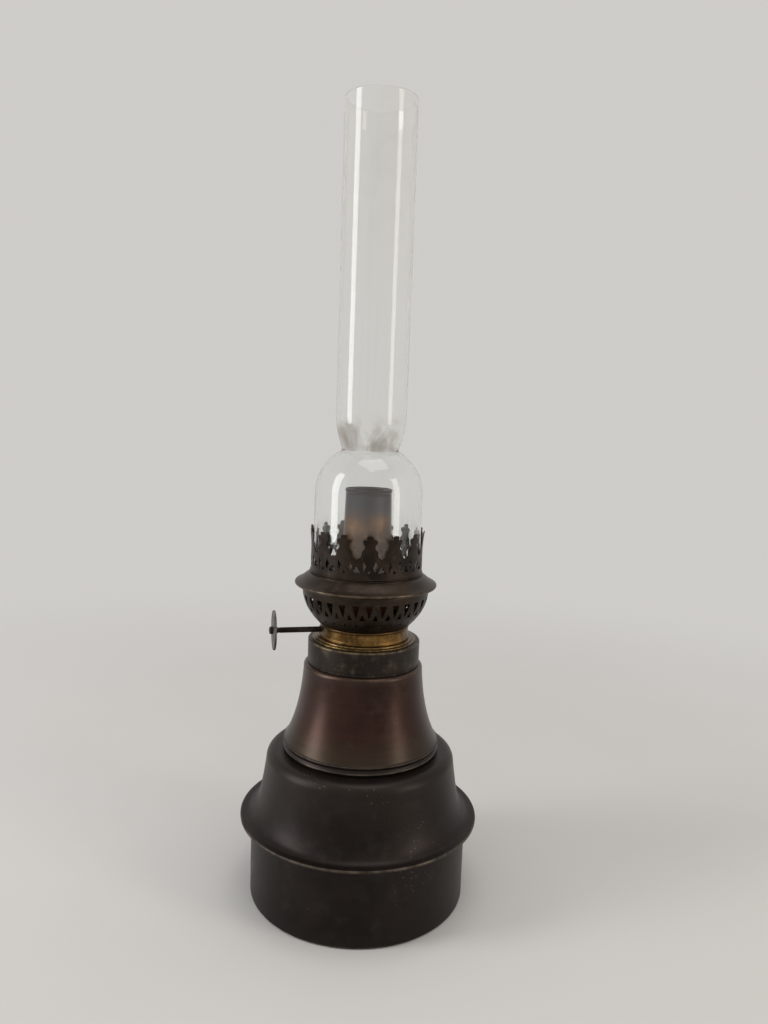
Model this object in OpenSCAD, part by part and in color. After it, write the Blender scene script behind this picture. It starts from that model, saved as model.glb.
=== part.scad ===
// Kerosene lamp with a round metal fount, a side-draught burner for a round wick, a pierced
// gallery and a glass chimney. The origin is the middle of the base, on the ground. +Z is up
// and the wick spindle leaves along -X. Millimetres.

/* [Sheet metal and clearances] */
// Thickness of the fount's sheet metal
sheet = 0.5; // [0.4:0.05:0.7]
// Thickness of the burner's and gallery's sheet metal
thin = 0.4; // [0.3:0.05:0.5]
// Radial clearance of a shaft in its bearing and of a sleeve on its spigot
running = 0.05; // [0.02:0.01:0.1]
// Clearance between the wick and the metal round it
wick_gap = 0.3; // [0.2:0.05:0.5]
// Radial clearance between the chimney and the crown
glass_gap = 0.75; // [0.4:0.05:1.2]

/* [Fount] */
// Outer radius of the drum
drum_r = 55.8; // [50:0.2:60]
// Height of the drum up to the underside of the brim
drum_h = 42; // [30:0.5:60]
// Radius of the edge at the drum's bottom
drum_edge_r = 1.5; // [1:0.1:4]
// How far the brim stands out past the drum
brim_reach = 5.6; // [4:0.2:8]
// Width of the fold that grips the drum's flange from below
fold_w = 2; // [1.2:0.1:3]
// Height of the lower bell above the brim's underside
shoulder_h = 34.4; // [30:0.5:45]
// Radius of the lower bell at the foot of its rounded shoulder
shoulder_r = 48.6; // [46:0.2:50]
// Radius of the lower bell's rounded shoulder
shoulder_round = 5.2; // [3:0.1:6]
// Height of the plain foot under the step band
band_foot_h = 1.2; // [0.8:0.1:2]
// Height of the step band above its foot
band_h = 4.4; // [3:0.1:7]
// Outer radius of the step band at its two ridges
band_r = 40.2; // [38:0.1:42]
// Radial width of the step band
band_w = 3.4; // [2.6:0.1:5]
// Depth of the hollow strip between the step band's ridges
band_hollow = 0.5; // [0.2:0.1:0.8]
// Height of the upper bell
neck_h = 39.8; // [30:0.5:50]
// Radius of the upper bell below its rounded top edge
neck_r = 30.5; // [29.4:0.1:32]
// Height of the collar
collar_h = 12.4; // [10.5:0.2:20]
// Outer radius of the collar
collar_r = 28.6; // [27.6:0.1:29.4]
// Wall of the collar
collar_wall = 0.9; // [0.6:0.1:1.2]

/* [Burner thread and ring] */
// Bore of the collar's threaded insert
thread_r = 24.2; // [23.6:0.1:25]
// Wall of the threaded insert
insert_wall = 1.8; // [1.4:0.1:2.2]
// Height of the threaded insert
insert_h = 10; // [8:0.5:10]
// Length of the burner's threaded skirt
skirt_h = 8.5; // [6:0.5:12]
// Wall of the threaded skirt
skirt_wall = 1; // [0.8:0.1:1.2]
// Pitch of the burner thread
thread_pitch = 1.5; // [1.2:0.1:2]
// Depth of the burner thread
thread_depth = 0.4; // [0.2:0.05:0.5]
// Radius of the wide lip that rests on the collar
lip_r = 26.3; // [25.4:0.1:27]
// Height of the wide lip
lip_h = 0.6; // [0.4:0.1:1]
// Radius of the step above the wide lip
step_r = 24.5; // [23.8:0.1:25]
// Height of that step
step_h = 0.7; // [0.4:0.1:1.2]
// Outer radius of the burner ring
ring_r = 22.4; // [21.8:0.1:23]
// Height of the burner ring
ring_h = 6.7; // [6:0.1:10]
// Height of the spigot that the gallery slides on
spigot_h = 3.4; // [2:0.2:5]

/* [Wick and its tubes] */
// Outer radius of the wick
wick_r = 10.8; // [10.4:0.05:11.2]
// Thickness of the wick
wick_t = 1.9; // [1.5:0.1:2.2]
// Length of the wick below the top of the flame tube
wick_l = 196; // [180:1:196]
// How far the flame tube's top stands above the chimney's seat
tube_above_seat = 39.8; // [30:0.2:45]
// How much the flame tube widens from its top to its foot
tube_flare = 2; // [1:0.1:3]
// Size of the rolled rim on the flame tube
tube_rim = 0.35; // [0.2:0.05:0.6]
// Height of the rolled rim on the flame tube
tube_rim_h = 1.6; // [1:0.1:3]
// How far the inner tube's top stands below the flame tube's top
inner_drop = 0.6; // [0:0.1:2]
// Half of the side air duct's width
duct_half_w = 5; // [4:0.1:5.6]
// Height of the side air duct from its sill to its point
duct_h = 22; // [16:0.5:26]
// Height of the duct's sill above the burner floor
duct_sill = 3; // [2:0.2:6]
// Furthest that the wick winds down from its place in the photograph
wick_down = 12; // [6:0.5:12]

/* [Spindle] */
// Radius of the spindle
spindle_r = 1.45; // [1.2:0.05:1.6]
// Height of the spindle's axis above the foot of the burner ring
spindle_z = 2.5; // [2.3:0.05:3]
// Distance of the spindle's axis behind the lamp's axis
spindle_back = 3.4; // [3:0.1:3.8]
// Outer radius of the spindle's gland and bearing
gland_r = 2.2; // [1.9:0.05:2.3]
// Length of the gland and of the bearing
gland_l = 5; // [3:0.2:6]
// Distance between the two sprocket wheels, middle to middle
wheel_pitch = 6; // [5:0.2:7]
// Thickness of a sprocket wheel
wheel_t = 0.8; // [0.5:0.1:1]
// Teeth of a sprocket wheel
wheel_teeth = 12; // [10:1:16]
// Depth of a sprocket wheel's teeth
wheel_tooth = 1.2; // [0.8:0.1:1.6]
// Radius of the thumbwheel
thumb_r = 10; // [7:0.5:12]
// Thickness of the thumbwheel
thumb_t = 1.2; // [0.8:0.1:2]
// Distance of the thumbwheel's middle from the lamp's axis
thumb_x = 45.8; // [38:0.2:60]
// Length of the riveted nub outside the thumbwheel
nub_l = 1.9; // [1:0.1:3]

/* [Gallery] */
// Height of the basket
basket_h = 18.6; // [17:0.2:24]
// Outer radius of the basket's top
basket_r = 32.1; // [31:0.1:33]
// Number of times the basket's pattern repeats
basket_repeats = 30; // [24:1:32]
// Outer radius of the gallery's rim
rim_r = 36; // [35:0.1:40]
// Radius of the rim's rolled edge
rim_roll = 0.8; // [0.5:0.1:1.1]
// Height from the basket's top to the crown's foot
rim_rise = 7.6; // [6:0.1:10]
// Height of the crown from its foot to its tooth tips
crown_h = 22.6; // [21.6:0.2:26]
// Number of teeth of the crown
crown_teeth = 14; // [12:1:15]
// Direction of one tooth, and of a basket unit, in degrees from +X
pattern_turn = 3.9; // [0:0.1:25]
// Depth of the notches between the teeth
notch_h = 11.5; // [9:0.5:12]
// Height of the chimney's seat above the crown's foot
seat_up = 2.6; // [2:0.1:4]
// Width of the chimney's seat
seat_w = 3; // [2.4:0.1:4]

/* [Chimney] */
// Outer radius of the chimney's wide foot
glass_r = 27; // [26:0.1:28]
// Wall of the chimney
glass_wall = 1.3; // [1:0.1:1.8]
// Height of the wide foot below the shoulder
glass_foot_h = 37; // [30:0.5:45]
// Height of the shoulder
glass_shoulder_h = 22; // [16:0.5:28]
// Outer radius of the neck
glass_neck_r = 14.2; // [13.6:0.1:15]
// Height over which the neck widens to the tube
glass_flare_h = 17; // [12:0.5:24]
// Outer radius of the tube
glass_tube_r = 17.6; // [16:0.1:20]
// Length of the tube
glass_tube_l = 149.5; // [100:0.5:180]

/* [Hidden] */
$fn = 96;

// Points on each curve of a turned outline
curve_steps = 14;
// Length by which a cutting shape passes the wall that it cuts
cut_over = 1;
// Small flat that keeps a tooth or a fold from ending in a knife edge
land = 0.3;

// Fount
brim_r = drum_r + brim_reach;
flange_r = brim_r - sheet - running;
z_shoulder = drum_h + shoulder_h;
z_band = z_shoulder + band_foot_h;
z_band_top = z_band + band_h;
z_neck = z_band_top + neck_h;
z_collar = z_neck + collar_h;
band_in_r = band_r - band_w;
brim_foot_r = brim_r - 2.8;
neck_edge_r = neck_r - collar_r;

// Burner
insert_r = thread_r + insert_wall;
skirt_r = thread_r - running;
z_step = z_collar + lip_h;
z_ring = z_step + step_h;
z_basket = z_ring + ring_h;
spigot_r = ring_r - thin - running;
ring_in_r = spigot_r - thin;
z_floor = z_basket + thin;
z_rim = z_basket + basket_h;
z_crown = z_rim + rim_rise;
z_seat = z_crown + seat_up;
z_tips = z_crown + crown_h;
z_flame = z_seat + tube_above_seat;

// Wick and tubes
wick_in_r = wick_r - wick_t;
inner_r = wick_in_r - wick_gap;
tube_r = wick_r + wick_gap + thin;
tube_foot_r = tube_r + tube_flare;
z_wick_foot = z_flame - wick_l;
z_duct = z_floor + duct_sill;
z_inner_foot = z_duct - thin;
slot_half_w = duct_half_w + 3 * wick_gap;
z_duct_slot = z_duct + duct_h + wick_down + 2 * wick_gap;
z_spindle = z_ring + spindle_z;
z_spindle_slot = z_spindle + spindle_r + wick_down + 2 * wick_gap;

// Spindle: the wheels reach the wick's inner face with half of the wick's clearance
wheel_edge_x = (wheel_pitch + wheel_t) / 2;
wheel_r = sqrt(pow(wick_in_r, 2) - pow(wheel_edge_x, 2)) - spindle_back - wick_gap / 2;
bearing_x = sqrt(pow(ring_in_r, 2) - pow(spindle_back, 2)) - gland_l;
gland_x = sqrt(pow(ring_r, 2) - pow(spindle_back, 2)) + land;

// Gallery and chimney
crown_r = glass_r + glass_gap + thin;
crown_in_r = crown_r - thin;
z_glass_shoulder = z_seat + glass_foot_h;
z_glass_neck = z_glass_shoulder + glass_shoulder_h;
z_glass_tube = z_glass_neck + glass_flare_h;

// A cubic curve through a and d that leaves a towards b and reaches d from c
function curve(a, b, c, d) = [
    for (i = [0:curve_steps])
        let (t = i / curve_steps, u = 1 - t)
            u * u * u * a + 3 * u * u * t * b + 3 * u * t * t * c + t * t * t * d
];

// An arc round centre c, from angle a0 to angle a1
function arc(c, r, a0, a1, steps = 6) = [
    for (i = [0:steps])
        let (a = a0 + (a1 - a0) * i / steps) c + r * [cos(a), sin(a)]
];

function reverse(points) = [for (i = [len(points) - 1:-1:0]) points[i]];

function unit(v) = v / norm(v);

// The same line moved by d to its left
function beside(p, d) = [
    for (i = [0:len(p) - 1])
        let (
            before = p[max(i - 1, 0)],
            after = p[min(i + 1, len(p) - 1)],
            along = unit(after - before)
        )
            p[i] + d * [-along[1], along[0]]
];

// A turned sheet: the outer line, and the same line one wall further in
module turned_sheet(line, wall) {
    rotate_extrude()
        polygon(concat(line, reverse(beside(line, wall))));
}

module turned(points) {
    rotate_extrude()
        polygon(points);
}

module tube(outer_r, inner_r, z0, z1) {
    turned([[inner_r, z0], [outer_r, z0], [outer_r, z1], [inner_r, z1]]);
}

// Cuts the flat shape given as its child outwards through a wall of radius r
module through_wall(angle, r, z) {
    rotate([0, 0, angle])
        translate([r - 3, 0, z])
            rotate([90, 0, 90])
                linear_extrude(6)
                    children();
}

// A triangle that stands on y = 0; size holds its half width and its height
module triangle(size) {
    polygon([[-size[0], 0], [size[0], 0], [0, size[1]]]);
}

module along_x(x0, x1) {
    translate([x0, spindle_back, z_spindle])
        rotate([0, 90, 0])
            linear_extrude(x1 - x0)
                children();
}

// Fount

module drum_cup() {
    color([0.20, 0.17, 0.15])
        turned(concat(
            [[0, 0]],
            arc([drum_r - drum_edge_r, drum_edge_r], drum_edge_r, -90, 0),
            [
                [drum_r, drum_h - sheet], [flange_r, drum_h - sheet], [flange_r, drum_h],
                [drum_r - sheet, drum_h]
            ],
            arc([drum_r - drum_edge_r, drum_edge_r], drum_edge_r - sheet, 0, -90),
            [[0, sheet]]
        ));
}

module shoulder_bell() {
    z_top = drum_h + sheet;
    z_round = z_shoulder - shoulder_round;
    flare = curve(
        [brim_foot_r, z_top], [shoulder_r + 4.6, z_top + 0.5],
        [shoulder_r + 2.4, z_top + 9.5], [shoulder_r, z_round]
    );
    round_top = arc([shoulder_r - shoulder_round, z_round], shoulder_round, 15, 90);
    line = concat(flare, round_top, [[band_in_r, z_shoulder]]);
    inner = beside(line, sheet);
    color([0.23, 0.18, 0.15])
        turned(concat(
            [[brim_r - fold_w, drum_h - 2 * sheet]],
            arc([brim_r - sheet, drum_h - sheet], sheet, -90, 0, 3),
            arc([brim_r - sheet, drum_h], sheet, 0, 90, 3),
            line,
            reverse([for (p = inner) if (p[1] > drum_h + land) p]),
            [
                [brim_foot_r - sheet, drum_h], [brim_r - sheet, drum_h],
                [brim_r - sheet, drum_h - sheet], [brim_r - fold_w, drum_h - sheet]
            ]
        ));
}

module step_band() {
    ridge = band_h / 4;
    color([0.25, 0.20, 0.16])
        turned(concat(
            [[band_in_r, z_shoulder], [band_r - 4 * band_hollow, z_shoulder],
             [band_r - 4 * band_hollow, z_band]],
            arc([band_r - ridge / 2, z_band + ridge / 2], ridge / 2, -90, 60, 4),
            [[band_r - band_hollow, z_band + 1.5 * ridge], [band_r - band_hollow, z_band_top - 1.5 * ridge]],
            arc([band_r - ridge / 2, z_band_top - ridge / 2], ridge / 2, -60, 90, 4),
            [[band_in_r, z_band_top]]
        ));
}

module neck_bell() {
    foot_r = band_r - band_hollow;
    z_edge = z_neck - neck_edge_r;
    line = concat(
        [[foot_r, z_band_top]],
        curve(
            [foot_r - land, z_band_top + land], [neck_r + 4.4, z_band_top + 8],
            [neck_r + 1, z_band_top + 20], [neck_r, z_edge]
        ),
        arc([collar_r, z_edge], neck_edge_r, 15, 90),
        [[thread_r, z_neck]]
    );
    inner = beside(line, sheet);
    color([0.34, 0.21, 0.15])
        turned(concat(
            line,
            [[thread_r, z_neck - sheet]],
            reverse([for (p = inner) if (p[1] > z_band_top + land && p[0] > thread_r + land) p]),
            [[foot_r - 2 * sheet, z_band_top]]
        ));
}

module collar() {
    color([0.24, 0.20, 0.17])
        turned([
            [collar_r - collar_wall, z_neck], [collar_r, z_neck],
            [collar_r, z_collar - land], [collar_r - land, z_collar],
            [insert_r, z_collar], [insert_r, z_collar - collar_wall],
            [collar_r - collar_wall, z_collar - collar_wall]
        ]);
}

// Grooves of a screw thread on the radius r, as far as depth away from it
function thread_line(r, depth, z0, z1) = [
    for (i = [0:floor((z1 - z0) / thread_pitch) - 1], k = [0:2])
        let (z = z0 + (i + 0.5 + k / 3) * thread_pitch)
            [k == 1 ? r + depth : r, z]
];

module collar_insert() {
    z0 = z_collar - insert_h;
    color([0.50, 0.38, 0.20])
        turned(concat(
            [[thread_r, z0], [insert_r, z0], [insert_r, z_collar], [thread_r, z_collar]],
            reverse(thread_line(thread_r, thread_depth, z0, z_collar))
        ));
}

// Burner

module burner_skirt() {
    z0 = z_collar - skirt_h;
    color([0.52, 0.40, 0.21])
        turned(concat(
            [[skirt_r - skirt_wall, z0], [skirt_r, z0]],
            thread_line(skirt_r, -thread_depth, z0, z_collar),
            [[skirt_r, z_collar], [skirt_r - skirt_wall, z_collar]]
        ));
}

module burner_flange() {
    color([0.42, 0.31, 0.18])
        turned([
            [ring_in_r, z_collar], [lip_r - land, z_collar], [lip_r, z_collar + land],
            [lip_r, z_step], [step_r, z_step], [step_r, z_ring - land],
            [step_r - land, z_ring], [ring_in_r, z_ring]
        ]);
}

module burner_ring() {
    bead = 0.35;
    bead_h = 0.9;
    color([0.62, 0.45, 0.20])
        difference() {
            turned([
                [ring_in_r, z_ring], [ring_r + bead, z_ring], [ring_r + bead, z_ring + bead_h],
                [ring_r, z_ring + bead_h + bead], [ring_r, z_basket - bead_h - bead],
                [ring_r + bead, z_basket - bead_h], [ring_r + bead, z_basket],
                [spigot_r, z_basket], [spigot_r, z_basket + spigot_h],
                [ring_in_r, z_basket + spigot_h]
            ]);
            along_x(-ring_r - cut_over, 0)
                circle(r = gland_r);
        }
}

module burner_floor() {
    color([0.45, 0.34, 0.19])
        tube(ring_in_r, tube_foot_r, z_basket, z_floor);
}

// Outline of the side air duct, a pointed arch that stands on z = 0
module duct_arch(grow = 0) {
    half_w = duct_half_w + grow;
    polygon([
        [-half_w, -grow], [half_w, -grow], [half_w, duct_h * 0.4],
        [0, duct_h + grow], [-half_w, duct_h * 0.4]
    ]);
}

module flame_cone(wall) {
    turned([
        [0, z_basket], [tube_foot_r - wall, z_basket], [tube_r - wall, z_flame], [0, z_flame]
    ]);
}

module flame_tube() {
    color([0.36, 0.26, 0.17])
        difference() {
            turned([
                [tube_foot_r - thin, z_basket], [tube_foot_r, z_basket],
                [tube_r, z_flame - tube_rim_h], [tube_r + tube_rim, z_flame - tube_rim_h + tube_rim],
                [tube_r + tube_rim, z_flame - tube_rim], [tube_r, z_flame], [tube_r - thin, z_flame]
            ]);
            translate([0, 0, z_duct])
                rotate([90, 0, 90])
                    linear_extrude(tube_foot_r + cut_over)
                        duct_arch();
        }
}

module inner_air_tube() {
    color([0.40, 0.30, 0.19])
        difference() {
            turned([
                [0, z_inner_foot], [inner_r, z_inner_foot], [inner_r, z_flame - inner_drop],
                [inner_r - thin, z_flame - inner_drop], [inner_r - thin, z_inner_foot + thin],
                [0, z_inner_foot + thin]
            ]);
            translate([0, 0, z_duct])
                rotate([90, 0, 90])
                    linear_extrude(inner_r + cut_over)
                        duct_arch();
        }
}

module side_air_duct() {
    color([0.43, 0.32, 0.20])
        intersection() {
            difference() {
                translate([0, 0, z_duct])
                    rotate([90, 0, 90])
                        linear_extrude(tube_foot_r)
                            difference() {
                                duct_arch();
                                duct_arch(-thin);
                            }
                cylinder(r = inner_r - thin, h = z_flame);
            }
            flame_cone(0);
        }
}

module spindle_gland() {
    color([0.30, 0.22, 0.15])
        along_x(-gland_x, gland_l - gland_x)
            difference() {
                circle(r = gland_r);
                circle(r = spindle_r + running);
            }
}

module spindle_bearing() {
    color([0.30, 0.22, 0.15])
        intersection() {
            difference() {
                along_x(bearing_x, ring_in_r)
                    circle(r = gland_r);
                along_x(bearing_x - cut_over, bearing_x + gland_l / 2)
                    circle(r = spindle_r + running);
            }
            cylinder(r = ring_in_r, h = z_basket);
        }
}

// Spindle

module spindle_shaft() {
    color([0.22, 0.17, 0.14])
        along_x(-thumb_x - thumb_t / 2, bearing_x + gland_l / 2 - running)
            circle(r = spindle_r);
}

module sprocket_wheels() {
    root_r = wheel_r - wheel_tooth;
    tooth = 360 / wheel_teeth;
    outline = [
        for (i = [0:wheel_teeth - 1], k = [-1, 1])
            (k < 0 ? root_r : wheel_r) * [cos((i + k / 4) * tooth), sin((i + k / 4) * tooth)]
    ];
    color([0.30, 0.24, 0.18])
        for (side = [-1, 1])
            along_x(side * wheel_pitch / 2 - wheel_t / 2, side * wheel_pitch / 2 + wheel_t / 2)
                difference() {
                    polygon(outline);
                    circle(r = spindle_r);
                }
}

module thumbwheel() {
    edge = thumb_t / 4;
    color([0.33, 0.31, 0.29])
        translate([-thumb_x - thumb_t / 2, spindle_back, z_spindle])
            rotate([0, 90, 0])
                turned([
                    [spindle_r, 0], [thumb_r - edge, 0], [thumb_r, edge],
                    [thumb_r, thumb_t - edge], [thumb_r - edge, thumb_t], [spindle_r, thumb_t]
                ]);
}

module thumbwheel_rivet() {
    head_r = spindle_r + 0.5;
    color([0.24, 0.20, 0.17])
        translate([-thumb_x - thumb_t / 2, spindle_back, z_spindle])
            rotate([0, -90, 0])
                turned([
                    [0, 0], [head_r, 0], [head_r, nub_l / 2], [head_r - nub_l / 4, nub_l], [0, nub_l]
                ]);
}

// Wick: a round sleeve that splits below into two tails, which pass the spindle and the duct

module wick() {
    color([0.80, 0.76, 0.66])
        difference() {
            tube(wick_r, wick_in_r, z_wick_foot, z_flame);
            rotate([90, 0, 90])
                linear_extrude(wick_r + cut_over)
                    polygon([
                        [-slot_half_w, z_wick_foot - cut_over], [slot_half_w, z_wick_foot - cut_over],
                        [slot_half_w, z_duct_slot - slot_half_w], [0, z_duct_slot],
                        [-slot_half_w, z_duct_slot - slot_half_w]
                    ]);
            translate([-wick_r - cut_over, -slot_half_w, z_wick_foot - cut_over])
                cube([wick_r + cut_over, 2 * slot_half_w, z_spindle_slot - z_wick_foot + cut_over]);
        }
}

// Gallery

module basket_sleeve() {
    color([0.36, 0.27, 0.18])
        tube(ring_r, spigot_r + running, z_basket, z_basket + spigot_h);
}

module basket() {
    foot_r = ring_r + thin;
    line = curve(
        [foot_r, z_basket], [foot_r + 5.4, z_basket + 5.2],
        [basket_r - 0.3, z_basket + 10.4], [basket_r, z_rim]
    );
    inner = beside(line, thin);
    unit_w = 2 * PI * basket_r / basket_repeats;
    // Half width and height of each kind of hole, and the height of its lowest point
    strap_hole = [0.22 * unit_w, 3.4];
    z_strap_hole = z_rim - 10.6;
    gap_hole = [0.28 * unit_w, 6.8];
    z_gap_hole = z_rim - 9.8;
    low_hole = [0.8, 1.5];
    z_low_hole = z_basket + 4.2;
    upper_r = basket_r - 1;
    low_r = basket_r - 4.6;
    color([0.27, 0.21, 0.16])
        difference() {
            turned(concat(
                [[ring_r, z_basket]], line, [[basket_r - thin, z_rim]],
                reverse([for (i = [1:len(inner) - 2]) inner[i]])
            ));
            for (i = [0:basket_repeats - 1]) {
                strap = pattern_turn + i * 360 / basket_repeats;
                gap = strap + 180 / basket_repeats;
                // The foot of each strap pair has a small triangle
                through_wall(strap, upper_r, z_strap_hole)
                    triangle(strap_hole);
                // Between two pairs there is a tall triangle that hangs point down
                through_wall(gap, upper_r, z_gap_hole + gap_hole[1])
                    mirror([0, 1])
                        triangle(gap_hole);
                // The lower row has a small triangle between two pairs
                through_wall(gap, low_r, z_low_hole)
                    triangle(low_hole);
            }
        }
}

module gallery_rim() {
    lip = 0.8;
    z_shelf = z_rim + lip + 2 * land;
    z_roll = z_shelf + rim_roll;
    hollow_r = rim_r - 2 * rim_roll;
    color([0.33, 0.26, 0.19])
        turned(concat(
            [[basket_r - thin, z_rim], [basket_r + lip, z_rim], [basket_r + lip, z_rim + lip],
             [basket_r + lip / 2, z_shelf]],
            arc([rim_r - rim_roll, z_roll], rim_roll, -90, 75),
            [[crown_r + lip, z_crown - land], [crown_r + lip, z_crown], [crown_in_r, z_crown],
             [crown_in_r, z_crown - thin], [hollow_r, z_roll + rim_roll + thin / 2],
             [hollow_r, z_shelf + thin], [basket_r - thin, z_shelf + thin]]
        ));
}

module crown() {
    bead = 0.4;
    pitch = 2 * PI * crown_r / crown_teeth;
    step = 360 / crown_teeth;
    band = crown_h - notch_h - 4 * bead;
    // Outlines of the three kinds of hole in the band
    lobed_hole = [[-1.7, 0], [1.7, 0], [1.2, 1.3], [0, 3.1], [-1.2, 1.3]];
    slanted_hole = [[0, 0], [1.3, 3.2], [0, 5], [-1.1, 2]];
    round_hole_r = 0.7;
    slanted_at = 0.27;
    color([0.29, 0.22, 0.17])
        difference() {
            turned(concat(
                [[crown_in_r, z_crown], [crown_r + bead, z_crown]],
                arc([crown_r, z_crown + 2 * bead], bead, -60, 90, 4),
                arc([crown_r, z_crown + 4 * bead], bead, -90, 90, 4),
                [[crown_r, z_tips], [crown_in_r, z_tips]]
            ));
            for (i = [0:crown_teeth - 1]) {
                tooth = pattern_turn + i * step;
                notch = tooth + step / 2;
                // The notch leaves a tooth with a narrow head, two lobes and a waist
                through_wall(notch, crown_r, z_tips - notch_h)
                    polygon([
                        [0, 0], [0.17 * pitch, 0.17 * notch_h], [0.30 * pitch, 0.42 * notch_h],
                        [0.23 * pitch, 0.62 * notch_h], [0.24 * pitch, 0.78 * notch_h],
                        [0.36 * pitch, 0.86 * notch_h], [0.37 * pitch, notch_h + cut_over],
                        [-0.37 * pitch, notch_h + cut_over], [-0.36 * pitch, 0.86 * notch_h],
                        [-0.24 * pitch, 0.78 * notch_h], [-0.23 * pitch, 0.62 * notch_h],
                        [-0.30 * pitch, 0.42 * notch_h], [-0.17 * pitch, 0.17 * notch_h]
                    ]);
                // A three-cornered hole under each notch
                through_wall(notch, crown_r, z_crown + 0.45 * band)
                    polygon(lobed_hole);
                // A slanted hole on each side of it
                for (side = [-1, 1])
                    through_wall(notch + side * slanted_at * step, crown_r, z_crown + 0.5 * band)
                        polygon(slanted_hole);
                // A small hole under each tooth
                through_wall(tooth, crown_r, z_crown + 0.5 * band)
                    circle(r = round_hole_r, $fn = 16);
            }
        }
}

module chimney_seat() {
    color([0.31, 0.24, 0.18])
        tube(crown_in_r, crown_in_r - seat_w, z_seat - thin, z_seat);
}

// Chimney

module chimney() {
    line = concat(
        [[glass_r, z_seat]],
        curve(
            [glass_r, z_glass_shoulder], [glass_r, z_glass_shoulder + 12],
            [glass_neck_r + 6.3, z_glass_neck - 4], [glass_neck_r, z_glass_neck]
        ),
        curve(
            [glass_neck_r + 0.1, z_glass_neck + 0.8], [glass_neck_r + 1.4, z_glass_neck + 6],
            [glass_tube_r - 0.4, z_glass_neck + 9], [glass_tube_r, z_glass_tube]
        ),
        [[glass_tube_r, z_glass_tube + glass_tube_l]]
    );
    color([0.85, 0.88, 0.86, 0.35])
        turned_sheet(line, glass_wall);
}

drum_cup();
shoulder_bell();
step_band();
neck_bell();
collar();
collar_insert();
burner_skirt();
burner_flange();
burner_ring();
burner_floor();
flame_tube();
inner_air_tube();
side_air_duct();
spindle_gland();
spindle_bearing();
spindle_shaft();
sprocket_wheels();
thumbwheel();
thumbwheel_rivet();
wick();
basket_sleeve();
basket();
gallery_rim();
crown();
chimney_seat();
chimney();
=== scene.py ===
"""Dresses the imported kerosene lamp: turned sheet metal, a pierced gallery, a wick and a glass chimney.

Lengths in the classes are millimetres in the row frame, and a mesh is scaled to metres when it is made.
The lamp's axis is +Z, the base is at z = 0, and the wick spindle leaves along -X.
"""
import logging
import math
from dataclasses import dataclass
from enum import Enum
from typing import Any, Callable, Mapping, Optional, Sequence, Union

import bmesh
import bpy
import numpy as np
from mathutils import Matrix, Vector, geometry, noise


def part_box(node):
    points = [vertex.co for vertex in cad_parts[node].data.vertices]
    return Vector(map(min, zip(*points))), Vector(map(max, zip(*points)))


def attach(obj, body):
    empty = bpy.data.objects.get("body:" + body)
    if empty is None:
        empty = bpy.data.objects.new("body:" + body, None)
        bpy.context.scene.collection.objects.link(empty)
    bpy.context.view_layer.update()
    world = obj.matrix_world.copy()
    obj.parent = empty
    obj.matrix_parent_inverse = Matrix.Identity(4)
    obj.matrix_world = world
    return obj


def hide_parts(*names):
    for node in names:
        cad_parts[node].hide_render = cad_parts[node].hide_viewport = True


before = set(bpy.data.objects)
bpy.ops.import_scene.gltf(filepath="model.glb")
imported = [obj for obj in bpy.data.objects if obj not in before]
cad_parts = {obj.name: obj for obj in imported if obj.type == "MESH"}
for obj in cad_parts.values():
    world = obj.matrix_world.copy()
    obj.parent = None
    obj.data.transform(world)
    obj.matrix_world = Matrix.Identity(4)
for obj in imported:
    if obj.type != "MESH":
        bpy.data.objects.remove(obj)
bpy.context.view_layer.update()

logging.basicConfig(level=logging.INFO, format="%(message)s")
log = logging.getLogger("lamp")

MM = 0.001
SEGMENTS = 256

Point = tuple[float, float]
Colour = tuple[float, float, float]
Line = list[Point]
Operand = Union["Signal", float, Sequence[float]]
Shape = Callable[[np.ndarray], np.ndarray]


class Body(Enum):
    """The bodies that pieces ride on."""

    FOUNT = "fount"
    BURNER = "burner"
    SPINDLE = "spindle"
    WICK = "wick"
    GALLERY = "gallery"
    CHIMNEY = "chimney"


# Shader expressions


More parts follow.
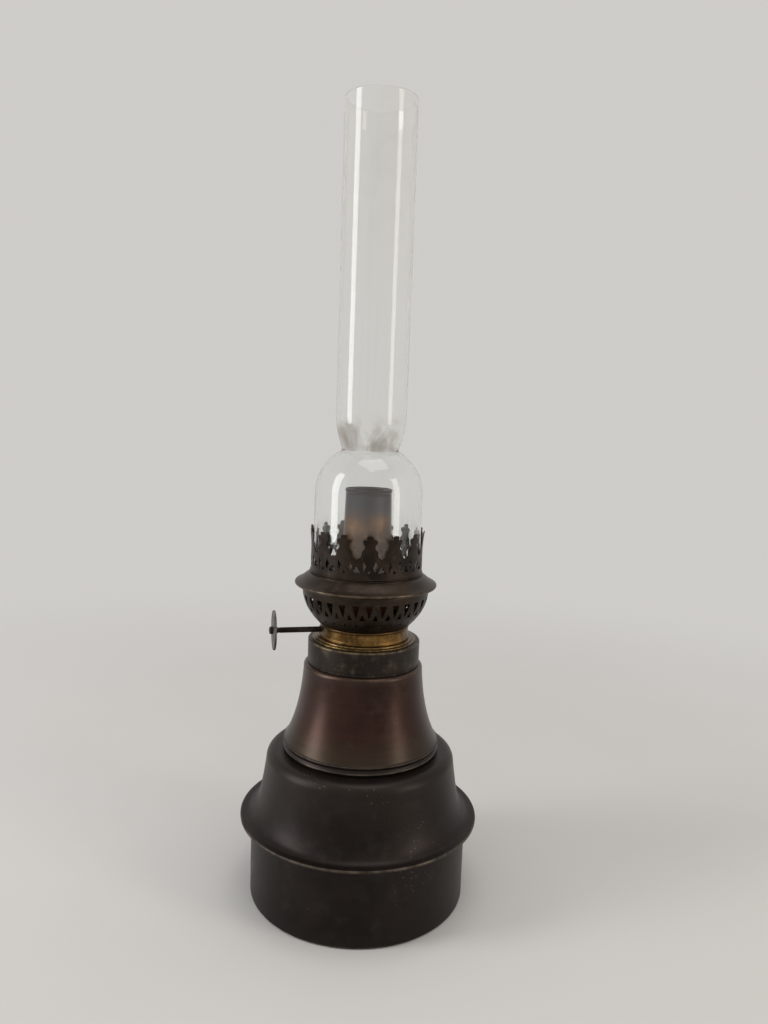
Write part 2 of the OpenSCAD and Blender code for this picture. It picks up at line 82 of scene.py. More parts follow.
class Signal:
    """A shader socket whose arithmetic adds the nodes that work it out."""

    def __init__(self, shader: "Shader", socket: bpy.types.NodeSocket) -> None:
        """Wraps socket, an output in shader's tree."""
        self.shader = shader
        self.socket = socket

    @property
    def wide(self) -> bool:
        """True if the socket carries a colour or a vector."""
        return self.socket.type in ("RGBA", "VECTOR")

    def work(self, operation: str, *operands: Operand) -> "Signal":
        """Adds one Math node, or one Vector Math node where an operand has three parts.

        Args:
            operation: The node's operation.
            operands: The values of its inputs, in order.

        Returns:
            The result.
        """
        wide = any(o.wide if isinstance(o, Signal) else isinstance(o, (tuple, list)) for o in operands)
        if wide:
            spread = [o if isinstance(o, (Signal, tuple, list)) else (o, o, o) for o in operands]
            inputs = dict(enumerate(spread))
            return self.shader.node("ShaderNodeVectorMath", {"operation": operation}, inputs)
        return self.shader.node("ShaderNodeMath", {"operation": operation}, dict(enumerate(operands)))

    def __add__(self, other: Operand) -> "Signal":
        """self + other."""
        return self.work("ADD", self, other)

    def __radd__(self, other: Operand) -> "Signal":
        """other + self."""
        return self.work("ADD", other, self)

    def __sub__(self, other: Operand) -> "Signal":
        """self - other."""
        return self.work("SUBTRACT", self, other)

    def __rsub__(self, other: Operand) -> "Signal":
        """other - self."""
        return self.work("SUBTRACT", other, self)

    def __mul__(self, other: Operand) -> "Signal":
        """self * other."""
        return self.work("MULTIPLY", self, other)

    def __rmul__(self, other: Operand) -> "Signal":
        """other * self."""
        return self.work("MULTIPLY", other, self)

    def root(self) -> "Signal":
        """The square root."""
        return self.work("SQRT", self)

    def larger(self, other: Operand) -> "Signal":
        """The larger of the two."""
        return self.work("MAXIMUM", self, other)

    def sine(self) -> "Signal":
        """The sine of an angle in radians."""
        return self.shader.node("ShaderNodeMath", {"operation": "SINE"}, {0: self})

    def rise(self, low: float, high: float) -> "Signal":
        """0 below low, 1 above high, with a smooth step between them."""
        return self.shader.node(
            "ShaderNodeMapRange", {"interpolation_type": "SMOOTHSTEP"}, {0: self, 1: low, 2: high}
        )


class Shader:
    """Builds the node tree of a material or of the world."""

    def __init__(self, tree: bpy.types.NodeTree) -> None:
        """Empties tree and fills it anew."""
        self.tree = tree
        tree.nodes.clear()
        self.place: Optional[Signal] = None

    def node(
        self,
        kind: str,
        settings: Optional[Mapping[str, Any]] = None,
        inputs: Optional[Mapping[Union[str, int], Operand]] = None,
        output: Union[str, int] = 0,
    ) -> Signal:
        """Adds a node.

        Args:
            kind: The node's type.
            settings: Its settings, set before its inputs. stops holds a ramp's (place, colour) pairs.
            inputs: The value or the link of each input, by name or number.
            output: The output that is returned.

        Returns:
            That output.
        """
        made = self.tree.nodes.new(kind)
        for name, value in (settings or {}).items():
            if name == "stops":
                self._set_stops(made.color_ramp, value)
            else:
                setattr(made, name, value)
        for key, value in (inputs or {}).items():
            self._feed(made.inputs[key], value)
        return Signal(self, made.outputs[output])

    @staticmethod
    def _set_stops(ramp: bpy.types.ColorRamp, stops: Sequence[tuple[float, Colour]]) -> None:
        """Gives ramp these stops."""
        while len(ramp.elements) < len(stops):
            ramp.elements.new(1.0)
        for element, (place, colour) in zip(ramp.elements, stops):
            element.position = place
            element.color = (*colour, 1.0)

    def _feed(self, socket: bpy.types.NodeSocket, value: Operand) -> None:
        """Links value to socket, or sets it there."""
        if isinstance(value, Signal):
            self.tree.links.new(value.socket, socket)
        elif isinstance(value, (tuple, list)) and socket.type == "RGBA":
            socket.default_value = (*value[:3], 1.0)
        else:
            socket.default_value = value

    def here(self) -> Signal:
        """The shaded point in the row frame, in metres."""
        if self.place is None:
            self.place = self.node("ShaderNodeTexCoord", output="Object")
        return self.place

    def parts(self, vector: Operand) -> tuple[Signal, Signal, Signal]:
        """The three parts of a vector."""
        first = self.node("ShaderNodeSeparateXYZ", inputs={0: vector})
        outputs = first.socket.node.outputs
        return first, Signal(self, outputs[1]), Signal(self, outputs[2])

    def mix(self, factor: Operand, a: Operand, b: Operand, blend: str = "MIX") -> Signal:
        """Blends colour b over colour a by factor."""
        return self.node(
            "ShaderNodeMix", {"data_type": "RGBA", "blend_type": blend}, {0: factor, 6: a, 7: b}, 2
        )

    def clouds(self, scale: float, detail: float = 4.0, rough: float = 0.55, at: Optional[Signal] = None,
               bend: float = 0.0) -> Signal:
        """Noise from 0 to 1 with scale features in a metre.

        Args:
            scale: Features in a metre, or in a unit of at.
            detail: Octaves of finer noise.
            rough: How much the finer noise counts.
            at: Where it is read, instead of the shaded point.
            bend: How far the noise is bent by itself.

        Returns:
            The noise.
        """
        return self.node(
            "ShaderNodeTexNoise", None,
            {"Vector": at or self.here(), "Scale": scale, "Detail": detail, "Roughness": rough,
             "Distortion": bend},
        )

    def specks(self, scale: float, size: float, at: Optional[Signal] = None) -> Signal:
        """Scattered dots, 1 inside a dot. size is a dot's radius as a share of their spacing."""
        distance = self.node("ShaderNodeTexVoronoi", None, {"Vector": at or self.here(), "Scale": scale})
        return 1.0 - distance.rise(size * 0.5, size)

    def bump(self, height: Operand, depth: float, strength: float = 1.0) -> Signal:
        """A normal bent by height, which counts depth millimetres from 0 to 1."""
        return self.node("ShaderNodeBump", None,
                         {"Strength": strength, "Distance": depth * MM, "Height": height})

    def close(self, surface: Signal) -> None:
        """Makes surface what the material shows."""
        output = self.tree.nodes.new("ShaderNodeOutputMaterial")
        self.tree.links.new(surface.socket, output.inputs["Surface"])


def new_material(name: str) -> tuple[bpy.types.Material, Shader]:
    """A new material and the builder of its nodes."""
    material = bpy.data.materials.new(name)
    material.use_nodes = True
    return material, Shader(material.node_tree)


# Finishes


@dataclass(frozen=True)
class Tint:
    """A colour that comes in with height.

    It starts at the height start and is full at the height full, above or below it.
    """

    colour: Colour
    start: float
    full: float
    strength: float = 1.0


@dataclass(frozen=True)
class Ridge:
    """A turned edge rubbed bright by handling: its radius, its height and how far the wear reaches."""

    radius: float
    height: float
    reach: float
    strength: float = 0.7


@dataclass(frozen=True)
class Metal:
    """A turned or spun metal with its patina.

    base, shade and glow are the patina's middle, dark and light tones, and worn is the metal under it.
    mottle counts the patches in a metre. lean is how the turning lines lean from height to radius.
    """

    name: str
    slot: str
    base: Colour
    shade: Colour
    glow: Colour
    worn: Colour = (0.30, 0.22, 0.13)
    metallic: float = 0.9
    gloss: float = 0.5
    smoothest: float = 0.30
    roughest: float = 0.52
    mottle: float = 38.0
    lean: float = -0.6
    lines: float = 0.35
    grit: float = 0.15
    grit_colour: Colour = (0.20, 0.17, 0.13)
    relief: float = 0.05
    tints: tuple[Tint, ...] = ()
    ridges: tuple[Ridge, ...] = ()

    def _turning_lines(self, shader: Shader, x: Signal, y: Signal, z: Signal, radius: Signal) -> Signal:
        """Fine lines that run round the axis, from 0 to 1."""
        across = z + radius * self.lean
        at = shader.node("ShaderNodeCombineXYZ", inputs={0: x * 18.0, 1: y * 18.0, 2: across * 1100.0})
        return shader.clouds(1.0, 3.0, 0.6, at)

    def _wear(self, shader: Shader, radius: Signal, z: Signal, patches: Signal) -> Optional[Signal]:
        """Where the ridges are rubbed bright, from 0 to 1, or None without ridges."""
        total: Optional[Signal] = None
        for ridge in self.ridges:
            away_r, away_z = radius - ridge.radius * MM, z - ridge.height * MM
            away = (away_r * away_r + away_z * away_z).root()
            worn = (1.0 - away.rise(0.15 * ridge.reach * MM, ridge.reach * MM)) * ridge.strength
            total = worn if total is None else total.larger(worn)
        return None if total is None else total * patches.rise(0.30, 0.62)

    def material(self) -> bpy.types.Material:
        """Builds the finish."""
        material, shader = new_material(self.name)
        x, y, z = shader.parts(shader.here())
        radius = (x * x + y * y).root()
        broad = shader.clouds(self.mottle, 5.0, 0.6, bend=0.4)
        middle = shader.clouds(self.mottle * 5.0, 4.0, 0.6)
        fine = shader.clouds(1600.0, 3.0, 0.6)
        lines = self._turning_lines(shader, x, y, z, radius)

        colour = shader.mix(broad.rise(0.38, 0.62), self.shade, self.base)
        colour = shader.mix(middle.rise(0.48, 0.80) * 0.6, colour, self.glow)
        wander = z + (broad - 0.5) * 0.006
        for tint in self.tints:
            low, high = sorted((tint.start * MM, tint.full * MM))
            come = wander.rise(low, high)
            come = come if tint.full > tint.start else 1.0 - come
            colour = shader.mix(come * tint.strength, colour, tint.colour)
        colour = shader.mix(lines.rise(0.35, 0.70) * self.lines, colour,
                            shader.mix(1.0, colour, (1.55, 1.5, 1.45), "MULTIPLY"))
        dots = shader.specks(420.0, 0.15) * broad.rise(0.54, 0.64) * self.grit
        colour = shader.mix(dots, colour, self.grit_colour)
        worn = self._wear(shader, radius, z, middle)
        if worn is not None:
            colour = shader.mix(worn, colour, self.worn)

        span = self.roughest - self.smoothest
        rough = self.smoothest + span * (0.55 * middle + 0.30 * broad + 0.25 * fine) + dots * 0.2
        relief = 0.45 * lines + 0.35 * fine + 0.35 * middle + dots * 0.5
        shader.close(shader.node(
            "ShaderNodeBsdfPrincipled", None,
            {"Base Color": colour, "Metallic": self.metallic, "Specular IOR Level": self.gloss,
             "Roughness": rough, "Normal": shader.bump(relief, self.relief)},
        ))
        return material


@dataclass(frozen=True)
class Cotton:
    """Woven wick cotton, yellowed by oil and charred at its top."""

    name: str
    slot: str
    clean: Colour
    oiled: Colour
    charred: Colour
    char_from: float
    char_full: float

    def material(self) -> bpy.types.Material:
        """Builds the finish."""
        material, shader = new_material(self.name)
        x, y, z = shader.parts(shader.here())
        angle = shader.node("ShaderNodeMath", {"operation": "ARCTAN2"}, {0: y, 1: x})
        warp = ((angle * 96.0).sine() + 1.0) * 0.5
        weft = ((z * 5200.0).sine() + 1.0) * 0.5
        soak = shader.clouds(60.0, 4.0)
        fluff = shader.clouds(1900.0, 4.0, 0.7)
        colour = shader.mix(soak.rise(0.35, 0.65), self.oiled, self.clean)
        shaded = shader.mix(1.0, colour, (0.62, 0.58, 0.50), "MULTIPLY")
        colour = shader.mix(warp * weft * 0.45, colour, shaded)
        stripe = (angle * 3.0).sine().rise(0.985, 0.995)
        colour = shader.mix(stripe * 0.55, colour, (0.10, 0.12, 0.30))
        burnt = (z + (soak - 0.5) * 0.008).rise(self.char_from * MM, self.char_full * MM)
        colour = shader.mix(burnt, colour, self.charred)
        shader.close(shader.node(
            "ShaderNodeBsdfPrincipled", None,
            {"Base Color": colour, "Roughness": 0.86 + fluff * 0.12, "Specular IOR Level": 0.2,
             "Sheen Weight": 0.25,
             "Normal": shader.bump(0.5 * warp * weft + 0.5 * fluff, 0.25)},
        ))
        return material


@dataclass(frozen=True)
class Glass:
    """Clear blown glass with a film of dust, denser higher up, and brown smoke marks over the neck."""

    name: str
    slot: str
    tone: Colour
    dust: Colour
    smoke: Colour
    neck_z: float
    top_z: float

    def material(self) -> bpy.types.Material:
        """Builds the finish."""
        material, shader = new_material(self.name)
        x, y, z = shader.parts(shader.here())
        blotch = shader.clouds(55.0, 5.0, 0.6, bend=0.5)
        grain = shader.clouds(900.0, 4.0, 0.7)
        streak_at = shader.node("ShaderNodeCombineXYZ", inputs={0: x * 260.0, 1: y * 260.0, 2: z * 9.0})
        streaks = shader.clouds(1.0, 3.0, 0.5, streak_at)

        ripple = shader.clouds(22.0, 2.0, 0.4)
        clear = shader.node(
            "ShaderNodeBsdfPrincipled", None,
            {"Base Color": self.tone, "Roughness": 0.03, "IOR": 1.47, "Transmission Weight": 1.0,
             "Normal": shader.bump(ripple, 0.12)},
        )
        path = shader.node("ShaderNodeLightPath", output="Is Shadow Ray")
        open_to_lamps = shader.node("ShaderNodeBsdfTransparent", None, {"Color": (0.93, 0.94, 0.93)})
        glass = shader.node("ShaderNodeMixShader", None, {0: path, 1: clear, 2: open_to_lamps})

        upper = z.rise((self.neck_z + 45.0) * MM, (self.top_z - 15.0) * MM)
        film = (0.018 + 0.085 * upper) * (0.55 + 0.9 * blotch) + streaks.rise(0.56, 0.82) * 0.035
        film = film + shader.specks(650.0, 0.16) * grain.rise(0.50, 0.66) * 0.22
        near_neck = z.rise((self.neck_z - 3.0) * MM, (self.neck_z + 2.0) * MM)
        near_neck = near_neck * (1.0 - z.rise((self.neck_z + 6.0) * MM, (self.neck_z + 22.0) * MM))
        smoked = near_neck * blotch.rise(0.40, 0.60) * (0.10 + 0.22 * grain)
        film_colour = shader.mix((smoked * 6.0).rise(0.0, 1.0), self.dust, self.smoke)
        powder = shader.node(
            "ShaderNodeBsdfPrincipled", None,
            {"Base Color": film_colour, "Roughness": 0.9, "Specular IOR Level": 0.1},
        )
        shader.close(shader.node("ShaderNodeMixShader", None, {0: film + smoked, 1: glass, 2: powder}))
        return material


Finish = Union[Metal, Cotton, Glass]


# Outlines and meshes


def arc(centre: Point, radius: float, start: float, end: float, steps: int = 8) -> Line:
    """Points on an arc from the angle start to the angle end, in degrees."""
    turns = [math.radians(start + (end - start) * i / steps) for i in range(steps + 1)]
    return [(centre[0] + radius * math.cos(a), centre[1] + radius * math.sin(a)) for a in turns]


def bend(a: Point, b: Point, c: Point, d: Point, steps: int = 48) -> Line:
    """A cubic curve through a and d that leaves a towards b and reaches d from c."""
    points = []
    for i in range(steps + 1):
        t = i / steps
        u = 1.0 - t
        weights = (u * u * u, 3 * u * u * t, 3 * u * t * t, t * t * t)
        points.append(tuple(sum(w * p[k] for w, p in zip(weights, (a, b, c, d))) for k in (0, 1)))
    return points


def beside(line: Line, distance: float) -> Line:
    """The same line, moved by distance to its left."""
    moved = []
    for i, (x, y) in enumerate(line):
        before, after = line[max(i - 1, 0)], line[min(i + 1, len(line) - 1)]
        dx, dy = after[0] - before[0], after[1] - before[1]
        length = math.hypot(dx, dy)
        moved.append((x - dy / length * distance, y + dx / length * distance))
    return moved


def eased(corners: Sequence[Point], radius: float, steps: int = 4, closed: bool = True) -> Line:
    """Rounds the corners of an outline.

    Args:
        corners: The outline.
        radius: How far from a corner its rounding starts, at most 0.45 of a side.
        steps: Points on a rounding, less one.
        closed: False keeps both ends of an open line.

    Returns:
        The rounded outline.
    """
    made: Line = []
    count = len(corners)
    for i, here in enumerate(corners):
        if not closed and i in (0, count - 1):
            made.append(here)
            continue
        p = Vector(here)
        before, after = Vector(corners[i - 1]) - p, Vector(corners[(i + 1) % count]) - p
        if before.length < 1e-6 or after.length < 1e-6:
            made.append(here)
            continue
        reach = min(radius, 0.45 * before.length, 0.45 * after.length)
        a, b = p + before.normalized() * reach, p + after.normalized() * reach
        for k in range(steps + 1):
            t = k / steps
            q = a * (1 - t) ** 2 + p * (2 * t * (1 - t)) + b * t ** 2
            made.append((q.x, q.y))
    return made


def shaped(
    name: str, points: np.ndarray, faces: Sequence[Sequence[int]], crease: float = 38.0
) -> bpy.types.Object:
    """Makes an object.

    Args:
        name: The object's name.
        points: Its points in millimetres, one row each.
        faces: Its faces.
        crease: The angle in degrees from which an edge is drawn sharp.

    Returns:
        The object, in metres, at the origin.
    """
    mesh = bpy.data.meshes.new(name)
    mesh.from_pydata((points * MM).tolist(), [], faces)
    mesh.validate()
    mesh.shade_smooth()
    mesh.set_sharp_from_angle(angle=math.radians(crease))
    made = bpy.data.objects.new(name, mesh)
    bpy.context.scene.collection.objects.link(made)
    return made


def tidy_normals(made: bpy.types.Object) -> None:
    """Turns all faces of a closed mesh outwards."""
    work = bmesh.new()
    work.from_mesh(made.data)
    bmesh.ops.recalc_face_normals(work, faces=work.faces)
    work.to_mesh(made.data)
    work.free()


def lathe(
    name: str,
    outline: Sequence[Point],
    segments: int = SEGMENTS,
    reshape: Optional[Callable[[float, float, float], float]] = None,
    place: Optional[Matrix] = None,
    crease: float = 38.0,
) -> bpy.types.Object:
    """Turns a closed outline of (radius, height) points about the axis.

    Args:
        name: The object's name.
        outline: The outline, in order, without its first point again at the end.
        segments: Points on a full turn.
        reshape: Gives a point's radius from its radius, height and angle.
        place: Moves the result, in millimetres.
        crease: The angle in degrees from which an edge is drawn sharp.

    Returns:
        The object.
    """
    clean = [p for i, p in enumerate(outline) if math.dist(p, outline[i - 1]) > 1e-4]
    points: list[tuple[float, float, float]] = []
    starts: list[tuple[int, bool]] = []
    for radius, height in clean:
        pole = radius < 1e-6
        starts.append((len(points), pole))
        for k in range(1 if pole else segments):
            turn = 2 * math.pi * k / segments
            r = reshape(radius, height, turn) if reshape and not pole else radius
            points.append((r * math.cos(turn), r * math.sin(turn), height))
    faces: list[tuple[int, ...]] = []
    for i, (a, a_pole) in enumerate(starts):
        b, b_pole = starts[(i + 1) % len(starts)]
        if a_pole and b_pole:
            continue
        for k in range(segments):
            n = (k + 1) % segments
            if a_pole:
                faces.append((a, b + n, b + k))
            elif b_pole:
                faces.append((a + k, a + n, b))
            else:
                faces.append((a + k, a + n, b + n, b + k))
    co = np.array(points)
    if place is not None:
        turn_part, shift = np.array(place.to_3x3()), np.array(place.to_translation())
        co = co @ turn_part.T + shift
    made = shaped(name, co, faces, crease)
    tidy_normals(made)
    return made


def cut(made: bpy.types.Object, cutter: bpy.types.Object) -> None:
    """Cuts cutter out of made and deletes cutter."""
    knife = made.modifiers.new("cut", "BOOLEAN")
    knife.operation = "DIFFERENCE"
    knife.solver = "EXACT"
    knife.object = cutter
    bpy.context.view_layer.update()
    evaluated = made.evaluated_get(bpy.context.evaluated_depsgraph_get())
    result = bpy.data.meshes.new_from_object(evaluated)
    made.modifiers.clear()
    made.data = result
    result.set_sharp_from_angle(angle=math.radians(38.0))
    bpy.data.objects.remove(cutter)


def inside(x: np.ndarray, y: np.ndarray, loop: np.ndarray) -> np.ndarray:
    """For each point (x, y), True if it lies inside the closed loop."""
    found = np.zeros(len(x), bool)
    for (x0, y0), (x1, y1) in zip(loop, np.roll(loop, -1, axis=0)):
        crosses = (y0 > y) != (y1 > y)
        if y0 != y1:
            found ^= crosses & (x < x0 + (y - y0) * (x1 - x0) / (y1 - y0))
    return found


def gap_to(x: np.ndarray, y: np.ndarray, loop: np.ndarray) -> np.ndarray:
    """The distance from each point (x, y) to the closed loop."""
    best = np.full(len(x), 1e9)
    p = np.stack([x, y], 1)
    for a, b in zip(loop, np.roll(loop, -1, axis=0)):
        along = b - a
        t = np.clip((p - a) @ along / max(float(along @ along), 1e-12), 0.0, 1.0)
        best = np.minimum(best, np.linalg.norm(p - a - t[:, None] * along, axis=1))
    return best


@dataclass
class PiercedSheet:
    """A round sheet whose holes and edges repeat round the axis.

    One unit is drawn flat, x to the side and y up, and x is measured on the radius radius.
    rows holds the heights of the mesh's rows. outer and inner give the radii of both faces.
    top and bottom are the unit's upper and lower edges from its left side to its right side.
    """

    repeats: int
    phase: float
    radius: float
    rows: Sequence[float]
    outer: Shape
    inner: Shape
    holes: Sequence[Line] = ()
    top: Optional[Line] = None
    bottom: Optional[Line] = None
    pitch: float = 0.55
    reshape: Optional[Callable[[np.ndarray, np.ndarray, np.ndarray, float], np.ndarray]] = None

    def _unit(self) -> tuple[np.ndarray, np.ndarray]:
        """Triangles of one unit: its points (x, y) and its triangles."""
        half = math.pi * self.radius / self.repeats
        columns = max(2, round(2 * half / self.pitch))
        xs = [(-1.0 + 2.0 * i / columns) * half for i in range(columns + 1)]
        low, high = self.rows[0], self.rows[-1]
        bottom = self.bottom or [(x, low) for x in xs]
        top = self.top or [(x, high) for x in xs]
        side = [z for z in self.rows if bottom[0][1] + 1e-6 < z < top[0][1] - 1e-6]
        edge = bottom + [(half, z) for z in side] + top[::-1] + [(-half, z) for z in side[::-1]]
        loops = [np.array(edge)] + [np.array(h) for h in self.holes]
        grid = np.array([(x, z) for z in self.rows for x in xs[1:-1]])
        keep = inside(grid[:, 0], grid[:, 1], loops[0])
        for i, loop in enumerate(loops):
            keep &= gap_to(grid[:, 0], grid[:, 1], loop) > 0.3 * self.pitch
            if i:
                keep &= ~inside(grid[:, 0], grid[:, 1], loop)
        points = np.concatenate(loops + [grid[keep]])
        edges, start = [], 0
        for loop in loops:
            n = len(loop)
            edges += [(start + i, start + (i + 1) % n) for i in range(n)]
            start += n
        out, _, faces, *_ = geometry.delaunay_2d_cdt([Vector(p) for p in points], edges, [], 0, 1e-6)
        co = np.array([(v.x, v.y) for v in out])
        tris = np.array([f for f in faces if len(f) == 3])
        centre = co[tris].mean(axis=1)
        wanted = inside(centre[:, 0], centre[:, 1], loops[0])
        for loop in loops[1:]:
            wanted &= ~inside(centre[:, 0], centre[:, 1], loop)
        tris = tris[wanted]
        a, b, c = (co[tris[:, k]] for k in range(3))
        turned = (b[:, 0] - a[:, 0]) * (c[:, 1] - a[:, 1]) - (b[:, 1] - a[:, 1]) * (c[:, 0] - a[:, 0]) < 0
        tris[turned] = tris[turned][:, ::-1]
        return co, tris

    def build(self, name: str) -> bpy.types.Object:
        """Makes the whole sheet, welded and closed along every edge."""
        co, tris = self._unit()
        around = 2 * math.pi * self.radius
        width = around / self.repeats
        flat = np.concatenate([co + (k * width, 0.0) for k in range(self.repeats)])
        every = np.concatenate([tris + k * len(co) for k in range(self.repeats)])
        flat[:, 0] = (flat[:, 0] + 1e-5) % around
        _, first, same = np.unique(np.round(flat, 3), axis=0, return_index=True, return_inverse=True)
        flat, every = flat[first], same.reshape(-1)[every]
        a, b, c = every.T
        every = every[(a != b) & (b != c) & (a != c)]
        turn = math.radians(self.phase) + flat[:, 0] / self.radius
        layers = []
        for depth, face in enumerate((self.outer, self.inner)):
            r = face(flat[:, 1])
            if self.reshape is not None:
                r = self.reshape(r, flat[:, 1], turn, float(depth))
            layers.append(np.stack([r * np.cos(turn), r * np.sin(turn), flat[:, 1]], 1))
        n = len(flat)
        sides = np.concatenate([every[:, [0, 1]], every[:, [1, 2]], every[:, [2, 0]]])
        there = {(int(a), int(b)) for a, b in sides}
        rim = [(a, b) for a, b in there if (b, a) not in there]
        walls = [(b, a, a + n, b + n) for a, b in sorted(rim)]
        faces = every.tolist() + (every[:, ::-1] + n).tolist() + walls
        return shaped(name, np.concatenate(layers), faces)


# Pieces


def fit(made: bpy.types.Object, body: Body, finish: Finish, *stands_for: str) -> bpy.types.Object:
    """Gives a piece its finish and its body, and hides the CAD nodes that it stands for.

    Args:
        made: The piece.
        body: The body that it rides on.
        finish: Its finish.
        stands_for: The CAD nodes that it replaces.

    Returns:
        The piece.
    """
    made.data.materials.clear()
    made.data.materials.append(coat(finish))
    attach(made, body.value)
    if stands_for:
        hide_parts(*stands_for)
    log.info("%s rides on %s, %d faces, for %s", made.name, body.value, len(made.data.polygons),
             ", ".join(stands_for) or "nothing else")
    return made


_coats: dict[str, bpy.types.Material] = {}


def coat(finish: Finish) -> bpy.types.Material:
    """The material of a finish, made once."""
    if finish.name not in _coats:
        _coats[finish.name] = finish.material()
    return _coats[finish.name]


def dress(finish: Finish, *nodes: str) -> None:
    """Gives CAD nodes that stay in view this finish."""
    for node in nodes:
        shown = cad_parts[node]
        if not shown.material_slots:
            shown.data.materials.append(None)
        for held in shown.material_slots:
            held.material = coat(finish)
        log.info("%s keeps its CAD shape in %s", node, finish.name)


def span(node: str) -> tuple[float, float]:
    """The lowest and highest z of a CAD node, in millimetres."""
    low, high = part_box(node)
    return round(low.z / MM, 3), round(high.z / MM, 3)


def reach(node: str) -> float:
    """The outer radius of a CAD node that is turned about the axis, in millimetres."""
    low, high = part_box(node)
    return round(max(high.x, -low.x, high.y, -low.y) / MM, 2)


@dataclass
class Fount:
    """The oil fount: a drum, a flared lower bell over a brim, a step band, an upper bell and a collar."""

    sheet: float = 0.5
    drum_edge_r: float = 1.5
    fold_w: float = 2.0
    shoulder_r: float = 48.6
    shoulder_round: float = 5.2
    band_foot_h: float = 1.2
    band_w: float = 3.4
    band_hollow: float = 0.5
    neck_r: float = 30.5
    collar_wall: float = 0.9
    throat_r: float = 24.2
    dent: float = 0.16

    def __post_init__(self) -> None:
        """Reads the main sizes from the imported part."""
        self.drum_top = span("drum_cup")[1]
        self.drum_r = reach("drum_cup") - 5.05
        self.brim_r = reach("shoulder_bell")
        self.z_shoulder, self.z_band_top = span("step_band")
        self.band_r = reach("step_band")
        self.z_neck, self.z_collar = span("collar")
        self.collar_r = reach("collar")

    def _dented(self, radius: float, height: float, turn: float) -> float:
        """Hand-worked sheet isn't quite round: it lies up to dent inside its radius."""
        where = Vector((math.cos(turn) * 1.7, math.sin(turn) * 1.7, height * 0.035))
        return radius - self.dent * (0.5 + 0.5 * noise.noise(where))

    def _drum(self) -> bpy.types.Object:
        """The drum with its flange, which the brim grips."""
        t, top, r, e = self.sheet, self.drum_top, self.drum_r, self.drum_edge_r
        flange = self.brim_r - t - 0.05
        wall = [(r, e + (top - t - 0.8 - e) * i / 12) for i in range(13)]
        outline = (
            [(0.0, 0.35), (r * 0.55, 0.30), (r - 9.0, 0.12), (r - 6.5, 0.0)]
            + arc((r - e, e), e, -90, 0)
            + wall
            + eased([(r, top - t - 0.6), (r, top - t), (flange, top - t), (flange, top), (r - t, top)],
                    0.25, closed=False)
            + arc((r - e, e), e - t, 0, -90)
            + [(r - 6.5, t), (r - 9.0, t + 0.12), (0.0, t + 0.35)]
        )
        return lathe("drum_wall", outline, reshape=self._dented)

    def _lower_bell(self) -> bpy.types.Object:
        """The lower bell: folded brim, flare and rounded shoulder."""
        t, brim, foot = self.sheet, self.brim_r, self.brim_r - 2.8
        z0, z_round = self.drum_top, self.z_shoulder - self.shoulder_round
        flare = bend((foot, z0 + t), (self.shoulder_r + 4.6, z0 + t + 0.5),
                     (self.shoulder_r + 2.4, z0 + t + 9.5), (self.shoulder_r, z_round), 64)
        corner = arc((self.shoulder_r - self.shoulder_round, z_round), self.shoulder_round, 12, 90, 18)
        line = flare + corner + [(self.band_r - self.band_w, self.z_shoulder)]
        inner = [p for p in beside(line, t) if p[1] > z0 + 0.3]
        outline = (
            [(brim - self.fold_w, z0 - 2 * t)]
            + arc((brim - t, z0 - t), t, -90, 0, 6)
            + arc((brim - t, z0), t, 0, 90, 6)
            + line
            + inner[::-1]
            + [(foot - t, z0), (brim - t, z0), (brim - t, z0 - t), (brim - self.fold_w, z0 - t)]
        )
        return lathe("lower_bell", outline, reshape=self._dented)

    def _step_band(self) -> bpy.types.Object:
        """The band between the bells: two ridges with a hollow strip."""
        r, foot, z1 = self.band_r, self.z_shoulder, self.z_band_top
        z0 = foot + self.band_foot_h
        ridge = (z1 - z0) / 4
        low_r, strip_r, back = r - 4 * self.band_hollow, r - self.band_hollow, r - self.band_w
        outline = (
            [(back, foot), (low_r + 0.5, foot), (low_r, foot + 0.35), (low_r, z0)]
            + arc((r - ridge / 2, z0 + ridge / 2), ridge / 2, -90, 60)
            + bend((strip_r, z0 + 1.5 * ridge), (strip_r - 0.18, z0 + 1.8 * ridge),
                   (strip_r - 0.18, z1 - 1.8 * ridge), (strip_r, z1 - 1.5 * ridge), 8)
            + arc((r - ridge / 2, z1 - ridge / 2), ridge / 2, -60, 90)
            + [(back, z1)]
        )
        return lathe("step_band_turned", outline, reshape=self._dented)

    def _upper_bell(self) -> bpy.types.Object:
        """The upper bell, which narrows to the collar."""
        t, foot, z0 = self.sheet, self.band_r - self.band_hollow, self.z_band_top
        edge = self.neck_r - self.collar_r
        z_edge = self.z_neck - edge
        line = (
            [(foot, z0)]
            + bend((foot - 0.3, z0 + 0.3), (self.neck_r + 4.4, z0 + 8), (self.neck_r + 1, z0 + 20),
                   (self.neck_r, z_edge), 72)
            + arc((self.collar_r, z_edge), edge, 12, 90)
            + [(self.throat_r, self.z_neck)]
        )
        inner = [p for p in beside(line, t) if p[1] > z0 + 0.3 and p[0] > self.throat_r + 0.3]
        outline = line + [(self.throat_r, self.z_neck - t)] + inner[::-1] + [(foot - 2 * t, z0)]
        return lathe("upper_bell", outline, reshape=self._dented)

    def _collar(self) -> bpy.types.Object:
        """The collar that the burner screws into."""
        r, w, bore = self.collar_r, self.collar_wall, self.throat_r + 1.8
        z0, z1 = self.z_neck, self.z_collar
        outline = (
            [(r - w, z0), (r - 0.12, z0), (r, z0 + 0.2), (r, z0 + 0.75), (r - 0.22, z0 + 1.0),
             (r - 0.22, z0 + 1.25), (r, z0 + 1.5)]
            + arc((r - 0.7, z1 - 0.7), 0.7, 0, 90, 6)
            + [(bore, z1), (bore, z1 - w), (r - w, z1 - w)]
        )
        return lathe("collar_turned", outline, reshape=self._dented)

